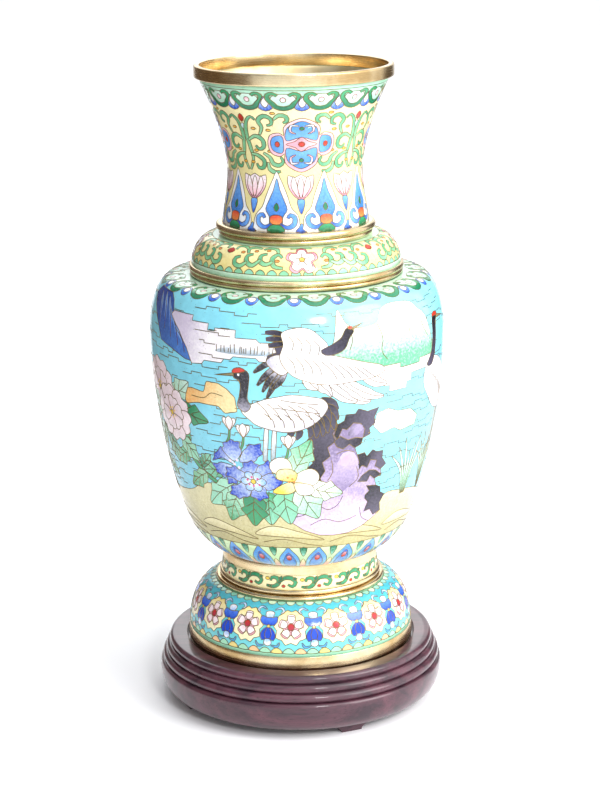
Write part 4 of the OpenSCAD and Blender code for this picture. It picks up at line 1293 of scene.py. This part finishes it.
fire(collar, "collar", "yellow_enamel")


# ---- Stem enamel and its wires ----
# Real piece: a short cream stem between waist band and foot, with a running dark green leaf scroll.
# It is enamelled on its own narrow copper section and soldered in between two brass rings.
stem = new_sheet("stem_enamel", 52, CREAM)
SPRIGS = 14
for x, _ in spaced(stem, SPRIGS):
    draw_at(stem, x)
    for path, start, end in (
            ([(1, 2.2), (6, 1.8), (9.4, 4.4), (8.2, 7.6), (4.6, 7.6), (4, 5.4)], (0, 2), (9, 6)),
            ([(9, 4), (13, 7.6), (18, 7.8), (20.6, 5), (18.4, 2.4), (15.6, 3.6)], (9, 4), (20, 5))):
        cell(stem, ribbon(path, 2.7, 0.5), DARK_GREEN, LEAF_GREEN, [start, end])
    for tip, root in (((11.6, 9.2), (9.6, 5.4)), ((3, 0.9), (4.6, 3)), ((21.8, 7.8), (18.6, 7.2))):
        bend = (0.34 * (root[1] - tip[1]), 0.34 * (tip[0] - root[0]))
        middle = ((tip[0] + root[0]) / 2, (tip[1] + root[1]) / 2)
        cell(stem, [root, (middle[0] + bend[0], middle[1] + bend[1]), tip,
                    (middle[0] - bend[0], middle[1] - bend[1])], DARK_GREEN)
    cell(stem, disc(12.6, 2.4, 1.3, 1, 8), RED)
    cell(stem, disc(1.6, 6.8, 1.5, 1.1, 8), YELLOW)
draw_at(stem)
fire(stem, "stem", "green_enamel")


# ---- Foot enamel and its wires ----
# Real piece: the domed foot, turquoise glass with fifteen plum blossoms in yellow lobed panels and
# deep blue double buds between them, and a green and yellow line of arcs above and below.
foot = new_sheet("foot_enamel", 70, "#6fcbd2", "#4fb4c4", ((0, 12), (0, 34)))
BLOOMS = 15
BLOOM_UP = 19.6          # mm, the height of a blossom's middle
LOW_LINE, HIGH_LINE = 2.6, 38.5
for x, between in spaced(foot, BLOOMS, -6):
    draw_at(foot, x)
    cell(foot, smooth(mirrored([(0, 9.4), (3.4, 8), (5.6, 11), (9.4, 12.4), (9, 17), (11.2, 19.6),
                                (9, 22.4), (8.6, 26.4), (5.4, 28.4), (3, 31), (0, 29.6)])),
         "#f3ecc2", "#ecd48a", [(0, 20), (0, 31)])
    cell(foot, plum(BLOOM_UP, 8.2, 0.6, 0.96, 0.34, 1.0), "#e3a3b1", "#f6e6ea",
         [(0, BLOOM_UP), (0, 25)])
    for a in FIVE:
        spread = [(r * math.cos(a + b), BLOOM_UP + r * math.sin(a + b))
                  for r, b in ((3.2, -0.5), (7, -0.36), (7, 0.36), (3.2, 0.5))]
        petal(foot, spread, "#f7e9ec", "#eec0ca",
              (6 * math.cos(a), BLOOM_UP + 6 * math.sin(a)), (0, BLOOM_UP))
    cell(foot, disc(0, BLOOM_UP, 2.3, sides=9), RED, "#a3354a", [(0, 22), (0, 18)])
    draw_at(foot, between)
    for half, fade in (([(0, 29.6), (-3, 28.6), (-2.4, 25.4), (0, 24)], [(0, 29), (0, 24)]),
                       ([(0, 6.8), (-2.4, 8.4), (-1.8, 11), (0, 12)], [(0, 7), (0, 12)])):
        cell(foot, smooth(mirrored(half)), WHITE, SKY_BLUE, fade)
    for half, tint, end in (
            ([(0, 20), (3.6, 20.4), (6.2, 23), (5, 26), (2.2, 25.2)], "#4f7fe0", 26),
            ([(0, 19), (3, 17.6), (5, 14), (3.8, 10.4), (1.2, 11.4)], "#2149be", 10.4)):
        cell(foot, smooth(mirrored(half)), "#2149be", tint, [(0, 20), (0, end)])
    for side in (-1, 1):
        draw_at(foot, between, flip=side)
        cell(foot, ribbon([(3, 30.6), (7, 32.4), (9.4, 30), (7.4, 28.2)], 1.7),
             "#4a9fd0", ICE_BLUE, [(3, 30), (9, 30)])
        cell(foot, ribbon([(2.4, 7.4), (6, 6.6), (7.6, 9.4)], 1.7), "#4a9fd0")
        line(foot, [(1.4, 11.6), (2.2, 14.6), (1, 18)])
    draw_at(foot, between)
    cell(foot, disc(0, 19.5, 1.1, sides=7), "#e6c56a")
draw_at(foot)
band(foot, 0, LOW_LINE, "#9ed8b4")
band(foot, HIGH_LINE, foot["height"], MINT)
FOOT_ARCS = 60
arcs(foot, FOOT_ARCS, [(-3.4, LOW_LINE), (-2.2, 5), (0, 6)],
     ("#e9d27e", "#9ed8b4", "#f0c08c", "#9ed8b4"))
arcs(foot, FOOT_ARCS, [(-3.4, HIGH_LINE), (-2.2, 35.8), (0, 35)], (MINT, "#cde6c0"))
fire(foot, "foot", "turquoise_enamel")


# ---- Rosewood stand ----
# Real piece: ring, apron and floor board turned from dark rosewood, glued up, stained and lacquered;
# four low bracket feet are sawn, eased by hand and doweled into the underside of the apron.


# Stained and lacquered rosewood: near-black red wood with long dark pores under a glossy clear coat.
def rosewood():
    material, tree, skin = new_material("lacquered rosewood")
    where = put(tree, "ShaderNodeTexCoord").outputs["Object"]
    along_grain = put(tree, "ShaderNodeMapping", [("Vector", where), ("Scale", (1, 9, 9))])
    figure = put(tree, "ShaderNodeTexNoise", [
        ("Vector", along_grain.outputs[0]), ("Scale", 14.0), ("Detail", 6.0), ("Roughness", 0.62),
        ("Distortion", 0.4)])
    tone = put(tree, "ShaderNodeMapRange", [
        ("Value", figure.outputs[0]), ("From Min", 0.36), ("From Max", 0.64)])
    colour = put(tree, "ShaderNodeMix", [
        (0, tone.outputs[0]), (6, srgb("#35212b")), (7, srgb("#5a3440"))], data_type="RGBA")
    fine = put(tree, "ShaderNodeMapping", [("Vector", where), ("Scale", (1, 16, 16))])
    pores = put(tree, "ShaderNodeTexNoise", [
        ("Vector", fine.outputs[0]), ("Scale", 90.0), ("Detail", 2.0)])     # pores about 0.7 mm apart
    open_pores = put(tree, "ShaderNodeMapRange", [
        ("Value", pores.outputs[0]), ("From Min", 0.58), ("From Max", 0.68), ("To Min", 0.0),
        ("To Max", 0.6)])
    wood = put(tree, "ShaderNodeMix", [
        (0, open_pores.outputs[0]), (6, colour.outputs[2]), (7, srgb("#1f1218"))], data_type="RGBA")
    tree.links.new(wood.outputs[2], skin["Base Color"])
    brushed = put(tree, "ShaderNodeBump", [
        ("Height", figure.outputs[0]), ("Strength", 0.2), ("Distance", 0.3 * MM)])
    tree.links.new(brushed.outputs[0], skin["Coat Normal"])
    skin["Roughness"].default_value = 0.36
    skin["Specular IOR Level"].default_value = 0.35
    skin["Coat Weight"].default_value = 0.8
    skin["Coat Roughness"].default_value = 0.05
    skin["Coat IOR"].default_value = 1.35
    return material


ROSEWOOD = rosewood()
turned("stand_reeded_ring", "stand_ring", "stand", ROSEWOOD, 0.6 * MM)
turned("stand_bulged_apron", "stand_apron", "stand", ROSEWOOD, 0.8 * MM)
coated("stand_floor", ROSEWOOD)
FOOT_EASE = 0.5 * MM
FOOT_EDGE = math.radians(35)     # a foot's edge sharper than this stays crisp in the light
SAME_PLANE = math.radians(3)     # triangles nearer to one plane than this are one face
for number in range(1, 5):
    node = f"stand_foot_{number}"
    shape = bmesh.new()
    shape.from_mesh(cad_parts[node].data)
    bmesh.ops.remove_doubles(shape, verts=shape.verts, dist=WELD)
    bmesh.ops.dissolve_limit(shape, angle_limit=SAME_PLANE, verts=shape.verts, edges=shape.edges)
    mesh = bpy.data.meshes.new("bracket")
    shape.to_mesh(mesh)
    shape.free()
    bracket = bpy.data.objects.new(f"stand_bracket_{number}", mesh)
    bpy.context.scene.collection.objects.link(bracket)
    mesh.materials.append(ROSEWOOD)
    rounding = bracket.modifiers.new("eased", "BEVEL")
    rounding.width = FOOT_EASE
    rounding.segments = 2
    rounding.limit_method = "ANGLE"
    mesh.shade_smooth()
    mesh.set_sharp_from_angle(angle=FOOT_EDGE)
    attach(bracket, "stand")
    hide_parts(node)


# Beech dowels: pale, close-grained and unfinished, as they sit glued in their holes.
def plain_dowel():
    material, tree, skin = new_material("plain beech")
    where = put(tree, "ShaderNodeTexCoord").outputs["Object"]
    upright_grain = put(tree, "ShaderNodeMapping", [("Vector", where), ("Scale", (12, 12, 1))])
    fibre = put(tree, "ShaderNodeTexNoise", [("Vector", upright_grain.outputs[0]), ("Scale", 80.0)])
    tone = put(tree, "ShaderNodeMix", [
        (0, fibre.outputs[0]), (6, srgb("#d3b189")), (7, srgb("#b58f66"))], data_type="RGBA")
    tree.links.new(tone.outputs[2], skin["Base Color"])
    skin["Roughness"].default_value = 0.7
    return material


coated("foot_dowels", plain_dowel())


# ---- Table, light and camera ----
# The vase stands on a white sheet in a bright room: the light is broad and soft, strongest from the
# right and from above, and dimmer and a little cooler from the left.


# Matt white paper: it takes soft shadows and has no gloss.
def white_sheet():
    material, tree, skin = new_material("matt white paper")
    skin["Base Color"].default_value = srgb("#f9f9fb")
    skin["Roughness"].default_value = 0.9
    return material


TABLE_REACH = 14         # m from the vase to the edge, so far that the edge is out of sight
TABLE_SIDES = 48
sheet_mesh = bpy.data.meshes.new("table")
sheet_mesh.from_pydata([(x, y, 0) for x, y in disc(0, 0, TABLE_REACH, sides=TABLE_SIDES)], [],
                       [list(range(TABLE_SIDES))])
table = bpy.data.objects.new("table", sheet_mesh)
bpy.context.scene.collection.objects.link(table)
sheet_mesh.materials.append(white_sheet())

room = bpy.data.worlds.new("bright room")
bpy.context.scene.world = room
room.use_nodes = True
tree = room.node_tree
tree.nodes.clear()
facing = put(tree, "ShaderNodeTexCoord").outputs["Generated"]
axes = put(tree, "ShaderNodeSeparateXYZ", [(0, facing)])
bright_side = put(tree, "ShaderNodeMapRange", [
    ("Value", axes.outputs["X"]), ("From Min", -0.9), ("From Max", 0.7), ("To Min", 0.4), ("To Max", 1.75)])
colour_side = put(tree, "ShaderNodeMapRange", [
    ("Value", axes.outputs["X"]), ("From Min", -0.8), ("From Max", 0.3)])
tint = put(tree, "ShaderNodeMix", [
    (0, colour_side.outputs[0]), (6, srgb("#d3dce8")), (7, srgb("#ffffff"))], data_type="RGBA")
sky = put(tree, "ShaderNodeBackground", [
    ("Color", tint.outputs[2]), ("Strength", bright_side.outputs[0])])
put(tree, "ShaderNodeOutputWorld", [("Surface", sky.outputs[0])])


LIT_POINT = Vector((0, 0, 0.22))


def soft_box(name, at, size, power):
    """A square white area light that faces the middle of the vase."""
    light = bpy.data.lights.new(name, "AREA")
    light.size = size
    light.energy = power
    box = bpy.data.objects.new(name, light)
    box.location = at
    box.rotation_euler = (LIT_POINT - Vector(at)).to_track_quat("-Z", "Y").to_euler()
    box.visible_camera = False
    bpy.context.scene.collection.objects.link(box)


soft_box("window_right", (1.5, -0.9, 1.2), 1.2, 30)
soft_box("window_front", (0.5, -1.6, 1.15), 0.3, 10)
soft_box("overhead", (0.3, -0.2, 2.0), 1.6, 12)
soft_box("window_back", (-0.4, 1.8, 1.3), 1.4, 8)

# Brown cards stand out of view at the left and right, so that rings and glass darken towards their
# edges as they do between dark furniture.
CARD_HIGH = 0.7
card_mesh = bpy.data.meshes.new("cards")
card_mesh.from_pydata(
    [(x, y, z) for x, y in ((-0.66, -0.6), (-0.5, 0.1), (-0.4, 0.8), (0.42, 0.85), (0.56, 0.3))
     for z in (0, CARD_HIGH)], [], [(0, 2, 3, 1), (2, 4, 5, 3), (6, 8, 9, 7)])
card = bpy.data.objects.new("cards", card_mesh)
bpy.context.scene.collection.objects.link(card)


def brown_card():
    material, tree, skin = new_material("brown card")
    skin["Base Color"].default_value = srgb("#4d4136")
    skin["Roughness"].default_value = 0.8
    return material


card_mesh.materials.append(brown_card())
card.visible_camera = False
card.visible_shadow = False

CAMERA_AT = (0.00143, -1.3244, 0.5587)
CAMERA_LENS = 94.5       # mm
CAMERA_PITCH = math.radians(74.855)      # up from looking straight down
CAMERA_ROLL = math.radians(-0.676)
camera = bpy.data.objects.new("camera", bpy.data.cameras.new("camera"))
bpy.context.scene.collection.objects.link(camera)
camera.location = CAMERA_AT
camera.data.lens = CAMERA_LENS
camera.data.dof.use_dof = False
camera.rotation_euler = (Matrix.Rotation(CAMERA_PITCH, 3, "X")
                         @ Matrix.Rotation(CAMERA_ROLL, 3, "Z")).to_euler()
bpy.context.scene.camera = camera
bpy.context.scene.view_settings.view_transform = "Standard"
